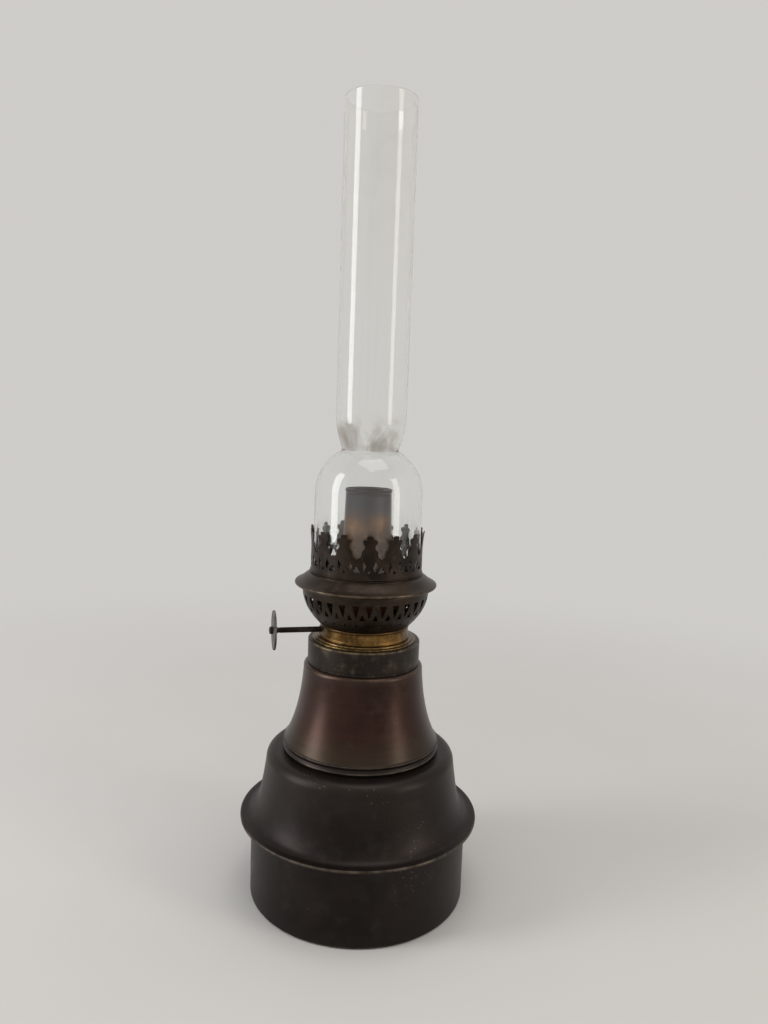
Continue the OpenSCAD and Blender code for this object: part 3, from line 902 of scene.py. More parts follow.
    def build(self) -> None:
        """Builds and dresses the fount."""
        dark = Metal(
            "dark_patina", "dark_fount", base=(0.0135, 0.0085, 0.0065), shade=(0.0075, 0.0040, 0.0030),
            glow=(0.024, 0.020, 0.017), worn=(0.13, 0.10, 0.075), metallic=0.55, gloss=0.32,
            smoothest=0.33, roughest=0.49, mottle=24.0, grit=0.5, lines=0.25, relief=0.035,
            tints=(Tint((0.021, 0.015, 0.012), 54.0, 74.0, 0.5),
                   Tint((0.013, 0.011, 0.009), 10.0, 0.0, 0.6)),
            ridges=(Ridge(self.brim_r - 0.3, self.drum_top, 0.9, 0.75),
                    Ridge(self.band_r, self.z_band_top - 0.6, 0.7, 0.5),
                    Ridge(self.band_r, self.z_shoulder + 1.8, 0.7, 0.6),
                    Ridge(self.drum_r - 0.4, 0.5, 1.3, 0.5)),
        )
        copper = Metal(
            "copper_patina", "copper_bell", base=(0.034, 0.0125, 0.0075), shade=(0.019, 0.0072, 0.0042),
            glow=(0.050, 0.026, 0.018), worn=(0.15, 0.085, 0.055), metallic=0.6, gloss=0.38,
            smoothest=0.25, roughest=0.40, mottle=22.0, grit=0.3, lines=0.30, relief=0.03,
            tints=(Tint((0.030, 0.021, 0.012), 96.0, 83.0, 0.75),
                   Tint((0.044, 0.028, 0.020), 116.0, 121.0, 0.5)),
            ridges=(Ridge(self.neck_r - 0.5, self.z_neck - 0.6, 1.4, 0.35),),
        )
        dull = Metal(
            "collar_patina", "collar_metal", base=(0.018, 0.0125, 0.0095), shade=(0.010, 0.0065, 0.0045),
            glow=(0.085, 0.066, 0.040), worn=(0.17, 0.13, 0.075), metallic=0.6, gloss=0.35,
            smoothest=0.30, roughest=0.50, mottle=42.0, grit=0.4, lines=0.3, relief=0.05,
            ridges=(Ridge(self.collar_r - 0.2, self.z_collar - 0.3, 1.0, 0.7),),
        )
        fit(self._drum(), Body.FOUNT, dark, "drum_cup")
        fit(self._lower_bell(), Body.FOUNT, dark, "shoulder_bell")
        fit(self._step_band(), Body.FOUNT, dark, "step_band")
        fit(self._upper_bell(), Body.FOUNT, copper, "neck_bell")
        fit(self._collar(), Body.FOUNT, dull, "collar")


def bright_brass() -> Metal:
    """Brass that stays bright because hands and the gallery rub it."""
    return Metal(
        "bright_brass", "bright_brass", base=(0.185, 0.105, 0.032), shade=(0.075, 0.040, 0.013),
        glow=(0.33, 0.225, 0.095), worn=(0.42, 0.30, 0.14), metallic=1.0, smoothest=0.24, roughest=0.42,
        mottle=90.0, grit=0.3, grit_colour=(0.03, 0.02, 0.01), lines=0.40, relief=0.035,
        tints=(Tint((0.050, 0.030, 0.014), 140.4, 142.0, 0.85),
               Tint((0.080, 0.048, 0.020), 136.4, 135.3, 0.8)),
        ridges=(Ridge(26.2, 134.6, 0.6, 0.6), Ridge(24.4, 135.4, 0.5, 0.6)),
    )


def aged_brass() -> Metal:
    """Oxidised olive-brown brass of the gallery."""
    return Metal(
        "aged_brass", "aged_brass", base=(0.026, 0.0165, 0.0105), shade=(0.012, 0.0070, 0.0045),
        glow=(0.050, 0.037, 0.025), worn=(0.14, 0.105, 0.065), metallic=0.7, gloss=0.35,
        smoothest=0.31, roughest=0.50, mottle=60.0, lean=0.6, grit=0.3, lines=0.25, relief=0.04,
    )


@dataclass
class Burner:
    """The side-draught burner: flange, ring, floor and the two tubes that hold the wick."""

    sheet: float = 0.4
    lip_r: float = 26.3
    step_r: float = 24.5
    ring_bead: float = 0.35
    spigot_h: float = 3.4
    spindle_y: float = 3.4
    spindle_z: float = 138.0
    gland_r: float = 2.2
    rim: float = 0.35
    rim_h: float = 1.6
    duct_half_w: float = 5.0
    duct_h: float = 22.0
    duct_z: float = 145.6

    def __post_init__(self) -> None:
        """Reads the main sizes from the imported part."""
        self.z_flange, self.z_ring = span("burner_flange")
        self.z_basket = span("burner_floor")[0]
        self.ring_r = reach("burner_ring") - self.ring_bead
        self.z_flame = span("flame_tube")[1]
        self.foot_r = reach("flame_tube")

    def _flange(self) -> bpy.types.Object:
        """The stepped lips that rest on the collar."""
        bore = self.ring_r - 2 * self.sheet - 0.05
        z0, z1, z2 = self.z_flange, self.z_flange + 0.6, self.z_ring
        lip, step = self.lip_r, self.step_r
        corners = [(bore, z0), (lip, z0), (lip, z1), (step, z1), (step, z2), (bore, z2)]
        return lathe("stepped_flange", eased(corners, 0.22))

    def _ring(self) -> bpy.types.Object:
        """The bright ring, with a bead at its foot and at its top, and the spigot for the gallery."""
        r, b, z0, z1 = self.ring_r, self.ring_bead, self.z_ring, self.z_basket
        spigot, bead_h = r - self.sheet - 0.05, 0.9
        inner = spigot - self.sheet
        outline = (
            [(inner, z0)]
            + eased([(r, z0), (r + b, z0), (r + b, z0 + bead_h), (r, z0 + bead_h + b), (r, z1 - bead_h - b),
                     (r + b, z1 - bead_h), (r + b, z1), (spigot, z1), (spigot, z1 + self.spigot_h)], 0.3,
                    closed=False)
            + [(inner, z1 + self.spigot_h)]
        )
        made = lathe("burner_ring_turned", outline)
        along_x = Matrix.Translation((-r - 6.0, self.spindle_y, self.spindle_z)) @ Matrix.Rotation(
            math.pi / 2, 4, "Y")
        hole = [(0.0, 0.0), (self.gland_r, 0.0), (self.gland_r, 12.0), (0.0, 12.0)]
        bore = lathe("bore", hole, 64, place=along_x)
        cut(made, bore)
        return made

    def _flame_tube(self) -> bpy.types.Object:
        """The outer wick tube, with its rolled rim and the arch of the side air duct."""
        t, z0, z1, foot = self.sheet, self.z_basket, self.z_flame, self.foot_r
        top = reach("wick") + 0.3 + t
        n = 24
        cone = [(foot + (top - foot) * i / n, z0 + (z1 - self.rim_h - z0) * i / n) for i in range(n + 1)]
        roll = eased([(top, z1 - self.rim_h), (top + self.rim, z1 - self.rim_h + self.rim),
                      (top + self.rim, z1 - self.rim), (top, z1), (top - t, z1)], 0.3, closed=False)
        outline = cone[:-1] + roll + [(p[0] - t, p[1]) for p in cone[::-1]]
        made = lathe("flame_tube_rolled", outline, 192)
        w, h = self.duct_half_w, self.duct_h
        arch = [(-w, 0.0), (w, 0.0), (w, 0.4 * h), (0.0, h), (-w, 0.4 * h)]
        near = np.array([(2.0, x, self.duct_z + z) for x, z in arch])
        far = near + (foot + 2.0, 0.0, 0.0)
        sides = [(i, (i + 1) % 5, 5 + (i + 1) % 5, 5 + i) for i in range(5)]
        knife = shaped("arch", np.concatenate([near, far]), [(4, 3, 2, 1, 0), (5, 6, 7, 8, 9), *sides])
        tidy_normals(knife)
        cut(made, knife)
        return made

    def build(self) -> None:
        """Builds and dresses the burner."""
        bright = bright_brass()
        z = self.z_flame
        heated = Metal(
            "heated_brass", "heated_brass", base=(0.20, 0.105, 0.042), shade=(0.095, 0.050, 0.025),
            glow=(0.32, 0.185, 0.080), worn=(0.30, 0.20, 0.12), metallic=1.0, smoothest=0.22, roughest=0.42,
            mottle=60.0, grit=0.5, grit_colour=(0.02, 0.016, 0.014), lines=0.2, relief=0.04,
            tints=(Tint((0.036, 0.036, 0.044), z - 19.0, z - 8.0, 0.92),
                   Tint((0.085, 0.032, 0.018), z - 40.0, z - 50.0, 0.7),
                   Tint((0.011, 0.009, 0.008), z - 3.4, z - 1.6, 0.96)),
            ridges=(Ridge(11.9, z - 1.5, 0.8, 0.4),),
        )
        fit(self._flange(), Body.BURNER, bright, "burner_flange")
        fit(self._ring(), Body.BURNER, bright, "burner_ring")
        fit(self._flame_tube(), Body.BURNER, heated, "flame_tube")
        dress(bright, "collar_insert", "burner_skirt")
        dress(aged_brass(), "burner_floor", "inner_air_tube", "side_air_duct")


@dataclass
class Spindle:
    """The wick spindle: shaft, milled thumbwheel and riveted nub. The shaft lies along X."""

    shaft_r: float = 1.45
    wheel_r: float = 10.0
    wheel_t: float = 1.2
    nub_l: float = 1.9
    notches: int = 60
    notch: float = 0.22

    def __post_init__(self) -> None:
        """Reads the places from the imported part."""
        low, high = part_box("spindle_shaft")
        self.y, self.z = (low.y + high.y) / 2 / MM, (low.z + high.z) / 2 / MM
        self.x0, self.x1 = low.x / MM, high.x / MM

    def _laid(self, x: float) -> Matrix:
        """Lays the turning axis along +X, from x."""
        return Matrix.Translation((x, self.y, self.z)) @ Matrix.Rotation(math.pi / 2, 4, "Y")

    def _shaft(self) -> bpy.types.Object:
        """The shaft, with a small shoulder that the wheel sits against."""
        r, length = self.shaft_r, self.x1 - self.x0
        t = self.wheel_t
        outline = [(0.0, 0.0), (r - 0.25, 0.0), (r - 0.25, t - 0.1), (r, t), (r, t + 1.6),
                   (r - 0.18, t + 1.75), (r - 0.18, t + 2.1), (r - 0.03, t + 2.3),
                   (r - 0.03, length - 0.3), (r - 0.3, length), (0.0, length)]
        return lathe("spindle_rod", outline, 48, place=self._laid(self.x0))

    def _milled(self, radius: float, height: float, turn: float) -> float:
        """Notches in the wheel's edge."""
        if radius < self.wheel_r - 0.35:
            return radius
        return radius - self.notch * (0.5 + 0.5 * math.cos(turn * self.notches)) ** 2

    def _thumbwheel(self) -> bpy.types.Object:
        """A thin wheel with a milled edge and a slightly dished face."""
        r, t, hub = self.wheel_r, self.wheel_t, self.shaft_r
        face = [(hub, 0.0), (hub + 1.7, 0.0), (hub + 2.2, 0.18), (r - 1.5, 0.18), (r - 1.0, 0.0)]
        outline = (
            face
            + [(r - 0.30, 0.0), (r - 0.08, 0.10), (r, 0.30)]
            + [(r, t - 0.30), (r - 0.08, t - 0.10), (r - 0.30, t)]
            + [(p[0], t - p[1]) for p in face[::-1]]
        )
        return lathe("milled_thumbwheel", outline, 480, self._milled, self._laid(self.x0))

    def _nub(self) -> bpy.types.Object:
        """The hammered end of the shaft outside the wheel."""
        r, n = self.shaft_r + 0.5, self.nub_l
        dome = bend((r, n * 0.45), (r, n * 0.95), (r * 0.6, n), (0.0, n), 12)
        outline = [(0.0, 0.0), (r - 0.1, 0.0), (r, 0.12)] + dome
        turned = Matrix.Translation((self.x0, self.y, self.z)) @ Matrix.Rotation(-math.pi / 2, 4, "Y")
        return lathe("hammered_nub", outline, 48, place=turned)

    def build(self) -> None:
        """Builds and dresses the spindle."""
        steel = Metal(
            "dark_steel", "spindle_metal", base=(0.028, 0.018, 0.013), shade=(0.013, 0.008, 0.0055),
            glow=(0.060, 0.045, 0.034), worn=(0.18, 0.15, 0.12), metallic=0.7, gloss=0.35,
            smoothest=0.34, roughest=0.54,
            mottle=160.0, lean=0.3, grit=0.5, lines=0.2, relief=0.05,
        )
        face = Metal(
            "worn_steel", "spindle_metal", base=(0.15, 0.14, 0.13), shade=(0.055, 0.045, 0.040),
            glow=(0.26, 0.25, 0.235), worn=(0.30, 0.28, 0.25), smoothest=0.34, roughest=0.54,
            mottle=220.0, lean=0.3, grit=0.4, grit_colour=(0.05, 0.03, 0.02), lines=0.2, relief=0.05,
        )
        fit(self._shaft(), Body.SPINDLE, steel, "spindle_shaft")
        fit(self._thumbwheel(), Body.SPINDLE, face, "thumbwheel")
        fit(self._nub(), Body.SPINDLE, steel, "thumbwheel_rivet")
        dress(steel, "sprocket_wheels", "spindle_gland", "spindle_bearing")


@dataclass
class Wick:
    """A woven round wick that splits below into two tails, past the spindle and past the air duct."""

    outer_r: float = 10.8
    inner_r: float = 8.9
    slot_turn: float = 37.0
    duct_slot_z: float = 180.2
    spindle_slot_z: float = 152.05
    rib: float = 0.10
    ribs: int = 48
    pitch: float = 0.85

    def __post_init__(self) -> None:
        """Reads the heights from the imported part."""
        self.z0, self.z1 = span("wick")

    def _ribbed(self, r: np.ndarray, z: np.ndarray, turn: np.ndarray, depth: float) -> np.ndarray:
        """Braided ribs on both faces, which stay inside the plain sleeve."""
        braid = 0.5 + 0.5 * np.cos(self.ribs * turn + 1.2 * np.sin(z * 1.9))
        return r - self.rib * braid if depth == 0.0 else r + self.rib * braid

    def _top(self, half: float) -> Line:
        """The charred upper edge, slightly ragged."""
        line = []
        steps = 160
        for i in range(steps + 1):
            x = -half + 2 * half * i / steps
            turn = 2 * math.pi * i / steps
            rag = noise.noise(Vector((math.cos(turn) * 9, math.sin(turn) * 9, 3.0)))
            line.append((x, self.z1 - 0.45 - 0.45 * rag))
        return line

    def _bottom(self, half: float) -> Line:
        """The lower edge with the duct's slot to the left of its middle and the spindle's to the right."""
        side = half / 2
        w = math.radians(self.slot_turn) * self.outer_r

        def level(a: float, b: float) -> Line:
            """A stretch of a tail's foot."""
            n = max(1, round(abs(b - a) / self.pitch))
            return [(a + (b - a) * i / n, self.z0) for i in range(n + 1)]

        def slot(at: float, z: float, point: float) -> Line:
            """Both sides of a slot and its upper end."""
            up = [(at - w, self.z0 + (z - point - self.z0) * i / 120) for i in range(1, 121)]
            tip = [(at - w * (1 - i / 8), z - point * (1 - i / 8)) for i in range(1, 8)]
            down = [(2 * at - x, y) for x, y in (up + tip)[::-1]]
            return up + tip + [(at, z)] + down

        return (
            level(-half, -side - w) + slot(-side, self.duct_slot_z, 5.9) + level(-side + w, side - w)
            + slot(side, self.spindle_slot_z, 0.6) + level(side + w, half)
        )

    def build(self) -> None:
        """Builds and dresses the wick."""
        half = math.pi * self.outer_r
        count = round((self.z1 - self.z0) / self.pitch)
        rows = [self.z0 + (self.z1 - self.z0) * i / count for i in range(count + 1)]
        sheet = PiercedSheet(
            1, 90.0, self.outer_r, rows,
            outer=lambda z: np.full_like(z, self.outer_r), inner=lambda z: np.full_like(z, self.inner_r),
            top=self._top(half), bottom=self._bottom(half), pitch=self.pitch, reshape=self._ribbed,
        )
        cotton = Cotton(
            "wick_weave", "wick_cotton", clean=(0.62, 0.55, 0.43), oiled=(0.44, 0.35, 0.22),
            charred=(0.012, 0.010, 0.009), char_from=self.z1 - 9.0, char_full=self.z1 - 3.0,
        )
        fit(sheet.build("woven_wick"), Body.WICK, cotton, "wick")


@dataclass
class Gallery:
    """The gallery: pierced basket, rim with a rolled edge, and a crown of teeth that holds the chimney."""

    sheet: float = 0.4
    repeats: int = 30
    teeth: int = 14
    phase: float = 3.9
    roll: float = 0.8
    lip: float = 0.8
    bead: float = 0.4
    notch_h: float = 11.5
    flare: float = 0.9

    def __post_init__(self) -> None:
        """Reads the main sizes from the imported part."""
        self.z_basket, self.z_rim = span("basket")
        self.basket_r = reach("basket")
        self.foot_r = reach("basket_sleeve") + self.sheet
        self.rim_r = reach("gallery_rim")
        self.z_crown, self.z_tips = span("crown")
        self.crown_r = reach("crown") - self.bead

    def _basket(self) -> bpy.types.Object:
        """The basket, pierced with leaning straps above a row of small holes."""
        z0, z1, r, t = self.z_basket, self.z_rim, self.basket_r, self.sheet
        line = bend((self.foot_r, z0), (self.foot_r + 5.4, z0 + 5.2), (r - 0.3, z0 + 10.4), (r, z1), 80)
        out_r, out_z = np.array(line).T
        back = [(self.foot_r - t, z0)] + beside(line, t)[1:-1] + [(r - t, z1)]
        in_r, in_z = np.array(sorted(back, key=lambda p: p[1])).T
        unit = 2 * math.pi * r / self.repeats
        half = unit / 2

        def hole(points: Line, ease: float = 0.45) -> Line:
            """One hole with slightly rounded corners."""
            return eased(points, ease, 3)

        def moved(points: Line, dx: float) -> Line:
            """The same hole, dx further to the right."""
            return [(x + dx, z) for x, z in points]

        foot_w, gap_w = 0.22 * unit, 0.28 * unit
        strap = hole([(-foot_w, z1 - 10.6), (foot_w, z1 - 10.6), (0.0, z1 - 7.2)])
        gap = hole([(0.0, z1 - 9.8), (gap_w, z1 - 3.0), (-gap_w, z1 - 3.0)])
        low = hole([(-0.8, z0 + 4.2), (0.8, z0 + 4.2), (0.0, z0 + 5.7)], 0.25)
        # A unit runs from one strap pair's middle to the next, so that no hole crosses its sides
        quarter = half / 2
        holes = [moved(strap, -quarter), moved(gap, half - quarter), moved(low, half - quarter)]
        rows = list(np.linspace(z0, z0 + 8.0, 20)[:-1]) + list(np.linspace(z0 + 8.0, z1, 22))
        sheet = PiercedSheet(
            self.repeats, self.phase + math.degrees(quarter / r), r, rows,
            outer=lambda z: np.interp(z, out_z, out_r), inner=lambda z: np.interp(z, in_z, in_r),
            holes=holes, pitch=0.45,
        )
        return sheet.build("pierced_basket")

    def _rim(self) -> bpy.types.Object:
        """The rim: two lips over the basket, a rolled edge and the slope up to the crown."""
        r, t, lip = self.basket_r, self.sheet, self.lip
        z0, z_crown = self.z_rim, self.z_crown
        z_shelf = z0 + lip + 0.6
        z_roll = z_shelf + self.roll
        hollow = self.rim_r - 2 * self.roll
        in_r = self.crown_r - t
        slope = bend((self.rim_r - self.roll + self.roll * math.cos(math.radians(75)),
                      z_roll + self.roll * math.sin(math.radians(75))),
                     (self.rim_r - 3.4, z_roll + 1.9), (self.crown_r + lip + 2.2, z_crown - 1.5),
                     (self.crown_r + lip, z_crown - 0.3), 24)
        outline = (
            [(r - t, z0)]
            + eased([(r, z0), (r + lip, z0), (r + lip, z0 + lip), (r + lip / 2, z0 + lip + 0.1),
                     (r + lip / 2, z_shelf), (self.rim_r - self.roll, z_shelf)], 0.18, closed=False)
            + arc((self.rim_r - self.roll, z_roll), self.roll, -90, 75, 16)[1:]
            + slope[1:]
            + [(self.crown_r + lip - 0.1, z_crown), (in_r, z_crown), (in_r, z_crown - t),
               (hollow, z_roll + self.roll + t / 2), (hollow, z_shelf + t), (r - t, z_shelf + t)]
        )
        return lathe("rolled_rim", outline)

    def _tooth(self, half: float) -> Line:
        """The upper edge of one unit: half a notch, a trefoil tooth and half a notch."""
        top = self.z_tips
        right = [(0.85, 0.0), (1.50, 0.45), (1.70, 1.20), (1.35, 2.00), (2.30, 1.80), (3.20, 2.10),
                 (3.70, 2.90), (3.45, 3.90), (2.60, 4.60), (2.40, 5.60), (2.80, 6.60), (3.70, 7.30),
                 (4.00, 8.20), (3.90, 9.20), (4.35, 10.30), (5.30, 11.20)]
        outer = [(half, top - self.notch_h)] + [(x, top - d) for x, d in right[::-1]]
        smooth = eased(outer + [(0.0, top)], 0.8, 4, closed=False)
        return [(-x, z) for x, z in smooth][:-1] + smooth[::-1]

    def _crown(self) -> bpy.types.Object:
        """The crown: beaded foot, pierced band and trefoil teeth that lean outwards a little."""
        z0, z1, r, t, b = self.z_crown, self.z_tips, self.crown_r, self.sheet, self.bead
        half = math.pi * r / self.teeth
        band = z1 - z0 - self.notch_h - 4 * b

        def lean(z: np.ndarray) -> np.ndarray:
            """How far the teeth lean out."""
            s = np.clip((z - (z1 - self.notch_h)) / self.notch_h, 0.0, 1.0)
            return self.flare * s * s

        def outer(z: np.ndarray) -> np.ndarray:
            """The outer face with its two beads."""
            found = r + lean(z)
            for middle in (z0 + 0.4, z0 + 2 * b + 0.4):
                found = found + np.sqrt(np.clip(b * b - (z - middle) ** 2, 0.0, None))
            return found

        lobed_z, slant_z = z0 + 0.45 * band, z0 + 0.5 * band

        def lobes(side: float) -> Line:
            """A three-lobed hole, centred under the notch at side."""
            rough = [(-2.05, 0.15), (-1.0, -0.3), (0.0, 0.25), (1.0, -0.3), (2.05, 0.15), (1.9, 1.2),
                     (1.05, 1.55), (1.0, 2.7), (0.0, 3.5), (-1.0, 2.7), (-1.05, 1.55), (-1.9, 1.2)]
            return eased([(side + x, lobed_z + z) for x, z in rough], 0.5, 3)

        def kite(side: float) -> Line:
            """A slanted hole between a notch and its tooth, whose middle is at side."""
            rough = [(0.0, 0.0), (1.45, 3.0), (0.15, 5.4), (-1.25, 2.2)]
            return eased([(side + x, slant_z + z) for x, z in rough], 0.4, 3)

        dot = arc((0.0, slant_z), 0.75, 0, 330, 11)
        slide = 0.23 * 2 * half
        # A unit is centred on its tooth; the lobed hole under a notch is cut where two units meet
        quarter = half / 2
        tooth = self._tooth(half)
        holes = [dot, kite(-slide), kite(slide)]
        rows = list(np.arange(z0, z0 + 4 * b, 0.1)) + list(np.linspace(z0 + 4 * b, z1, 44))
        doubled = self._shift_unit(tooth, holes, lobes(half), half, quarter)
        sheet = PiercedSheet(
            self.teeth, self.phase + math.degrees(quarter / r), r, rows, outer=outer,
            inner=lambda z: r - t + lean(z), holes=doubled[1], top=doubled[0], pitch=0.45,
        )
        return sheet.build("pierced_crown")

    @staticmethod
    def _shift_unit(top: Line, holes: list[Line], between: Line, half: float, by: float
                    ) -> tuple[Line, list[Line]]:
        """Moves a unit's sides to the right, so that the hole between two units isn't cut.

        Args:
            top: The unit's upper edge, from -half to half.
            holes: Its holes.
            between: The hole that sits on its right side.
            half: Half of its width.
            by: How far its sides move to the right.

        Returns:
            The upper edge and the holes, measured from the new middle.
        """
        cut_x = -half + by
        kept = [(x - by, z) for x, z in top if x > cut_x]
        wrapped = [(x + 2 * half - by, z) for x, z in top if x <= cut_x]
        z_cut = float(np.interp(cut_x, [p[0] for p in top[:12]], [p[1] for p in top[:12]]))
        edge = [(-half, z_cut)] + kept + wrapped[1:] + [(half, z_cut)]
        moved = []
        for hole in holes + [between]:
            middle = sum(x for x, _ in hole) / len(hole)
            shift = -by if middle > cut_x else 2 * half - by
            moved.append([(x + shift, z) for x, z in hole])
        return edge, moved

    def build(self) -> None:
        """Builds and dresses the gallery."""
        aged = aged_brass()
        rim = Metal(
            "rim_brass", "aged_brass", base=(0.036, 0.024, 0.0155), shade=(0.020, 0.0125, 0.0080),
            glow=(0.060, 0.045, 0.030), worn=(0.16, 0.12, 0.075), metallic=0.7, gloss=0.35,
            smoothest=0.30, roughest=0.46, mottle=50.0, grit=0.3, lines=0.25, relief=0.04,
            ridges=(Ridge(self.rim_r - 0.1, self.z_rim + 2.2, 0.9, 0.55),),
        )
        fit(self._basket(), Body.GALLERY, aged, "basket")
        fit(self._rim(), Body.GALLERY, rim, "gallery_rim")
        fit(self._crown(), Body.GALLERY, aged, "crown")
        dress(aged, "basket_sleeve", "chimney_seat")


@dataclass
class Chimney:
    """The glass chimney: wide foot, shoulder, narrow neck and a long tube."""

    wall: float = 1.3
    foot_h: float = 37.0
    shoulder_h: float = 22.0
    neck_r: float = 14.2
    flare_h: float = 17.0
    tube_r: float = 17.6

    def __post_init__(self) -> None:
        """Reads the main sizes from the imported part."""
        self.z0, self.z1 = span("chimney")
        self.foot_r = reach("chimney")

    def build(self) -> None:
        """Builds and dresses the chimney."""
        z_shoulder = self.z0 + self.foot_h
        z_neck = z_shoulder + self.shoulder_h
        z_tube = z_neck + self.flare_h
        foot = [(self.foot_r, self.z0 + self.foot_h * i / 16) for i in range(16)]
        line = (
            foot
            + bend((self.foot_r, z_shoulder), (self.foot_r, z_shoulder + 12),
                   (self.neck_r + 6.3, z_neck - 4), (self.neck_r, z_neck), 56)
            + bend((self.neck_r + 0.1, z_neck + 0.8), (self.neck_r + 1.4, z_neck + 6),
                   (self.tube_r - 0.4, z_neck + 9), (self.tube_r, z_tube), 40)
            + [(self.tube_r, z_tube + (self.z1 - z_tube) * i / 40) for i in range(1, 41)]
        )
        inner = beside(line, self.wall)
        w = self.wall / 2
        rim = arc((self.tube_r - w, self.z1 - w), w, 0, 180, 10)
        base = arc((self.foot_r - w, self.z0 + w), w, 180, 360, 10)
        outline = base + line[1:-1] + rim + inner[1:-1][::-1]
        clear = Glass(
            "clear_glass", "clear_glass", tone=(0.975, 0.985, 0.98), dust=(0.62, 0.59, 0.55),
            smoke=(0.14, 0.085, 0.05), neck_z=z_neck, top_z=self.z1,
        )
        fit(lathe("glass_chimney", outline, 192, crease=60.0), Body.CHIMNEY, clear, "chimney")


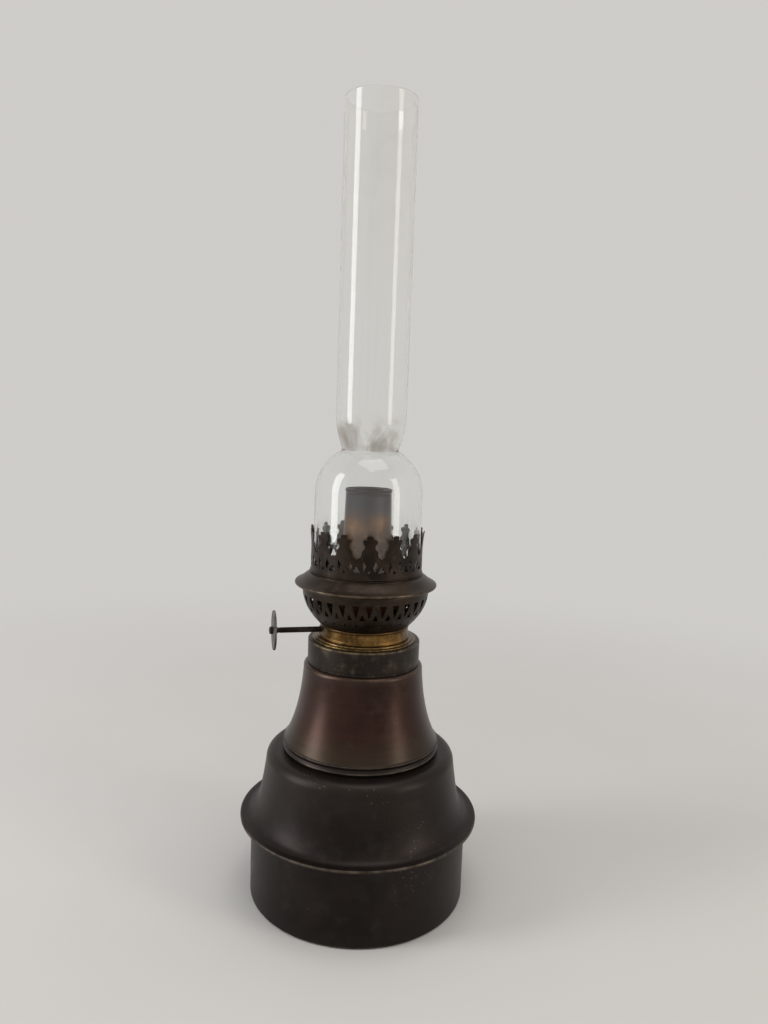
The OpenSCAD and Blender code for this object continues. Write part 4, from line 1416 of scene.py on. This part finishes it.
@dataclass
class Studio:
    """A plain pale stage, soft lamps and the camera at the photograph's angle."""

    pale: Colour = (0.62, 0.605, 0.585)
    focal_px: float = 798.9
    frame_px: float = 1024.0
    pitch: float = 6.98
    yaw: float = 1.14
    roll: float = 2.07
    turned: float = -12.0
    distance: float = 0.400
    height: float = 0.2482

    def _world(self) -> None:
        """An even pale surround for what is seen, and a weaker one for what it lights."""
        world = bpy.data.worlds.new("studio")
        bpy.context.scene.world = world
        world.use_nodes = True
        shader = Shader(world.node_tree)
        seen = shader.node("ShaderNodeBackground", None, {"Color": self.pale, "Strength": 1.0})
        fill = shader.node("ShaderNodeBackground", None, {"Color": (1.0, 0.985, 0.965), "Strength": 0.50})
        mixed = shader.node("ShaderNodeMixShader", None, {0: self._looked_at(shader), 1: fill, 2: seen})
        output = shader.tree.nodes.new("ShaderNodeOutputWorld")
        shader.tree.links.new(mixed.socket, output.inputs["Surface"])

    @staticmethod
    def _looked_at(shader: Shader) -> Signal:
        """1 for rays that show the stage, by eye, by gloss or through glass."""
        camera = shader.node("ShaderNodeLightPath", output="Is Camera Ray")
        outputs = camera.socket.node.outputs
        gloss = Signal(shader, outputs["Is Glossy Ray"])
        glass = Signal(shader, outputs["Is Transmission Ray"])
        return camera.larger(gloss).larger(glass)

    def _floor(self) -> None:
        """A wide plain floor that turns into the surround far away."""
        material, shader = new_material("stage_floor")
        x, y, _ = shader.parts(shader.here())
        away = (x * x + y * y).root()
        dust = shader.clouds(3.0, 3.0)
        near = shader.node(
            "ShaderNodeBsdfPrincipled", None,
            {"Base Color": shader.mix(dust.rise(0.3, 0.7), (0.60, 0.585, 0.565), (0.63, 0.615, 0.595)),
             "Roughness": 0.8, "Specular IOR Level": 0.1},
        )
        far = shader.node("ShaderNodeEmission", None, {"Color": self.pale, "Strength": 1.0})
        shader.close(shader.node("ShaderNodeMixShader", None, {0: away.rise(0.14, 0.75), 1: near, 2: far}))
        rings = [0.0, 0.3, 0.8, 2.0, 5.0, 14.0]
        outline = [(r / MM, -0.02) for r in rings]
        points, faces, n = [(0.0, 0.0, -0.02)], [], 96
        turns = [2 * math.pi * k / n for k in range(n)]
        for r, z in outline[1:]:
            points += [(r * math.cos(a), r * math.sin(a), z) for a in turns]
        faces += [(0, 1 + k, 1 + (k + 1) % n) for k in range(n)]
        for i in range(len(outline) - 2):
            a, b = 1 + i * n, 1 + (i + 1) * n
            faces += [(a + k, b + k, b + (k + 1) % n, a + (k + 1) % n) for k in range(n)]
        floor = shaped("stage_floor", np.array(points), faces)
        floor.data.materials.append(material)

    @staticmethod
    def _lamp(name: str, at: Colour, aim: Colour, size: Point, power: float, colour: Colour) -> None:
        """A soft rectangular lamp at at, in metres, that faces aim."""
        light = bpy.data.lights.new(name, "AREA")
        light.shape = "RECTANGLE"
        light.size, light.size_y = size
        light.energy = power
        light.color = colour
        lamp = bpy.data.objects.new(name, light)
        lamp.location = at
        lamp.rotation_euler = (Vector(aim) - Vector(at)).to_track_quat("-Z", "Y").to_euler()
        # Seen through the chimney from behind, a lamp would fill the glass with white
        lamp.visible_transmission = False
        bpy.context.scene.collection.objects.link(lamp)

    def _lamps(self) -> None:
        """A tall cool window lamp on the left, a weaker warm one on the right and a dim one overhead."""
        middle, foot = (0.0, 0.0, 0.20), (0.0, 0.0, 0.1)
        cool, warm, plain = (0.97, 0.985, 1.0), (1.0, 0.93, 0.85), (1.0, 0.99, 0.97)
        self._lamp("window_left", (-1.05, -0.06, 0.42), middle, (0.34, 1.10), 8.2, cool)
        self._lamp("window_right", (0.80, -0.68, 0.40), middle, (0.26, 1.00), 3.6, warm)
        self._lamp("overhead", (0.1, -0.2, 1.5), foot, (0.9, 0.9), 6.0, plain)

    def _camera(self) -> None:
        """The camera, solved from the photograph's perspective."""
        data = bpy.data.cameras.new("camera")
        data.sensor_width = 36.0
        data.lens = self.focal_px / self.frame_px * data.sensor_width
        data.clip_start, data.clip_end = 0.01, 60.0
        pitch, yaw, roll = (math.radians(v) for v in (self.pitch, self.yaw, self.roll))
        turn = Matrix.Rotation(math.radians(self.turned), 3, "Z")
        flat = math.cos(pitch)
        ahead = turn @ Vector((math.sin(yaw) * flat, math.cos(yaw) * flat, -math.sin(pitch)))
        level = turn @ Vector((math.cos(yaw), -math.sin(yaw), 0.0))
        above = level.cross(ahead)
        right = level * math.cos(roll) + above * math.sin(roll)
        up = above * math.cos(roll) - level * math.sin(roll)
        camera = bpy.data.objects.new("camera", data)
        bpy.context.scene.collection.objects.link(camera)
        rotation = Matrix((right, up, -ahead)).transposed().to_4x4()
        place = turn @ Vector((0.0, -self.distance, self.height))
        camera.matrix_world = Matrix.Translation(place) @ rotation
        bpy.context.scene.camera = camera

    def build(self) -> None:
        """Builds the stage."""
        bpy.context.scene.view_settings.view_transform = "Standard"
        self._world()
        self._floor()
        self._lamps()
        self._camera()


def main() -> None:
    """Builds the lamp from the fount up, then the stage."""
    for part in (Fount(), Burner(), Spindle(), Wick(), Gallery(), Chimney(), Studio()):
        part.build()
        log.info("%s is done", type(part).__name__)


if __name__ == "__main__":
    main()
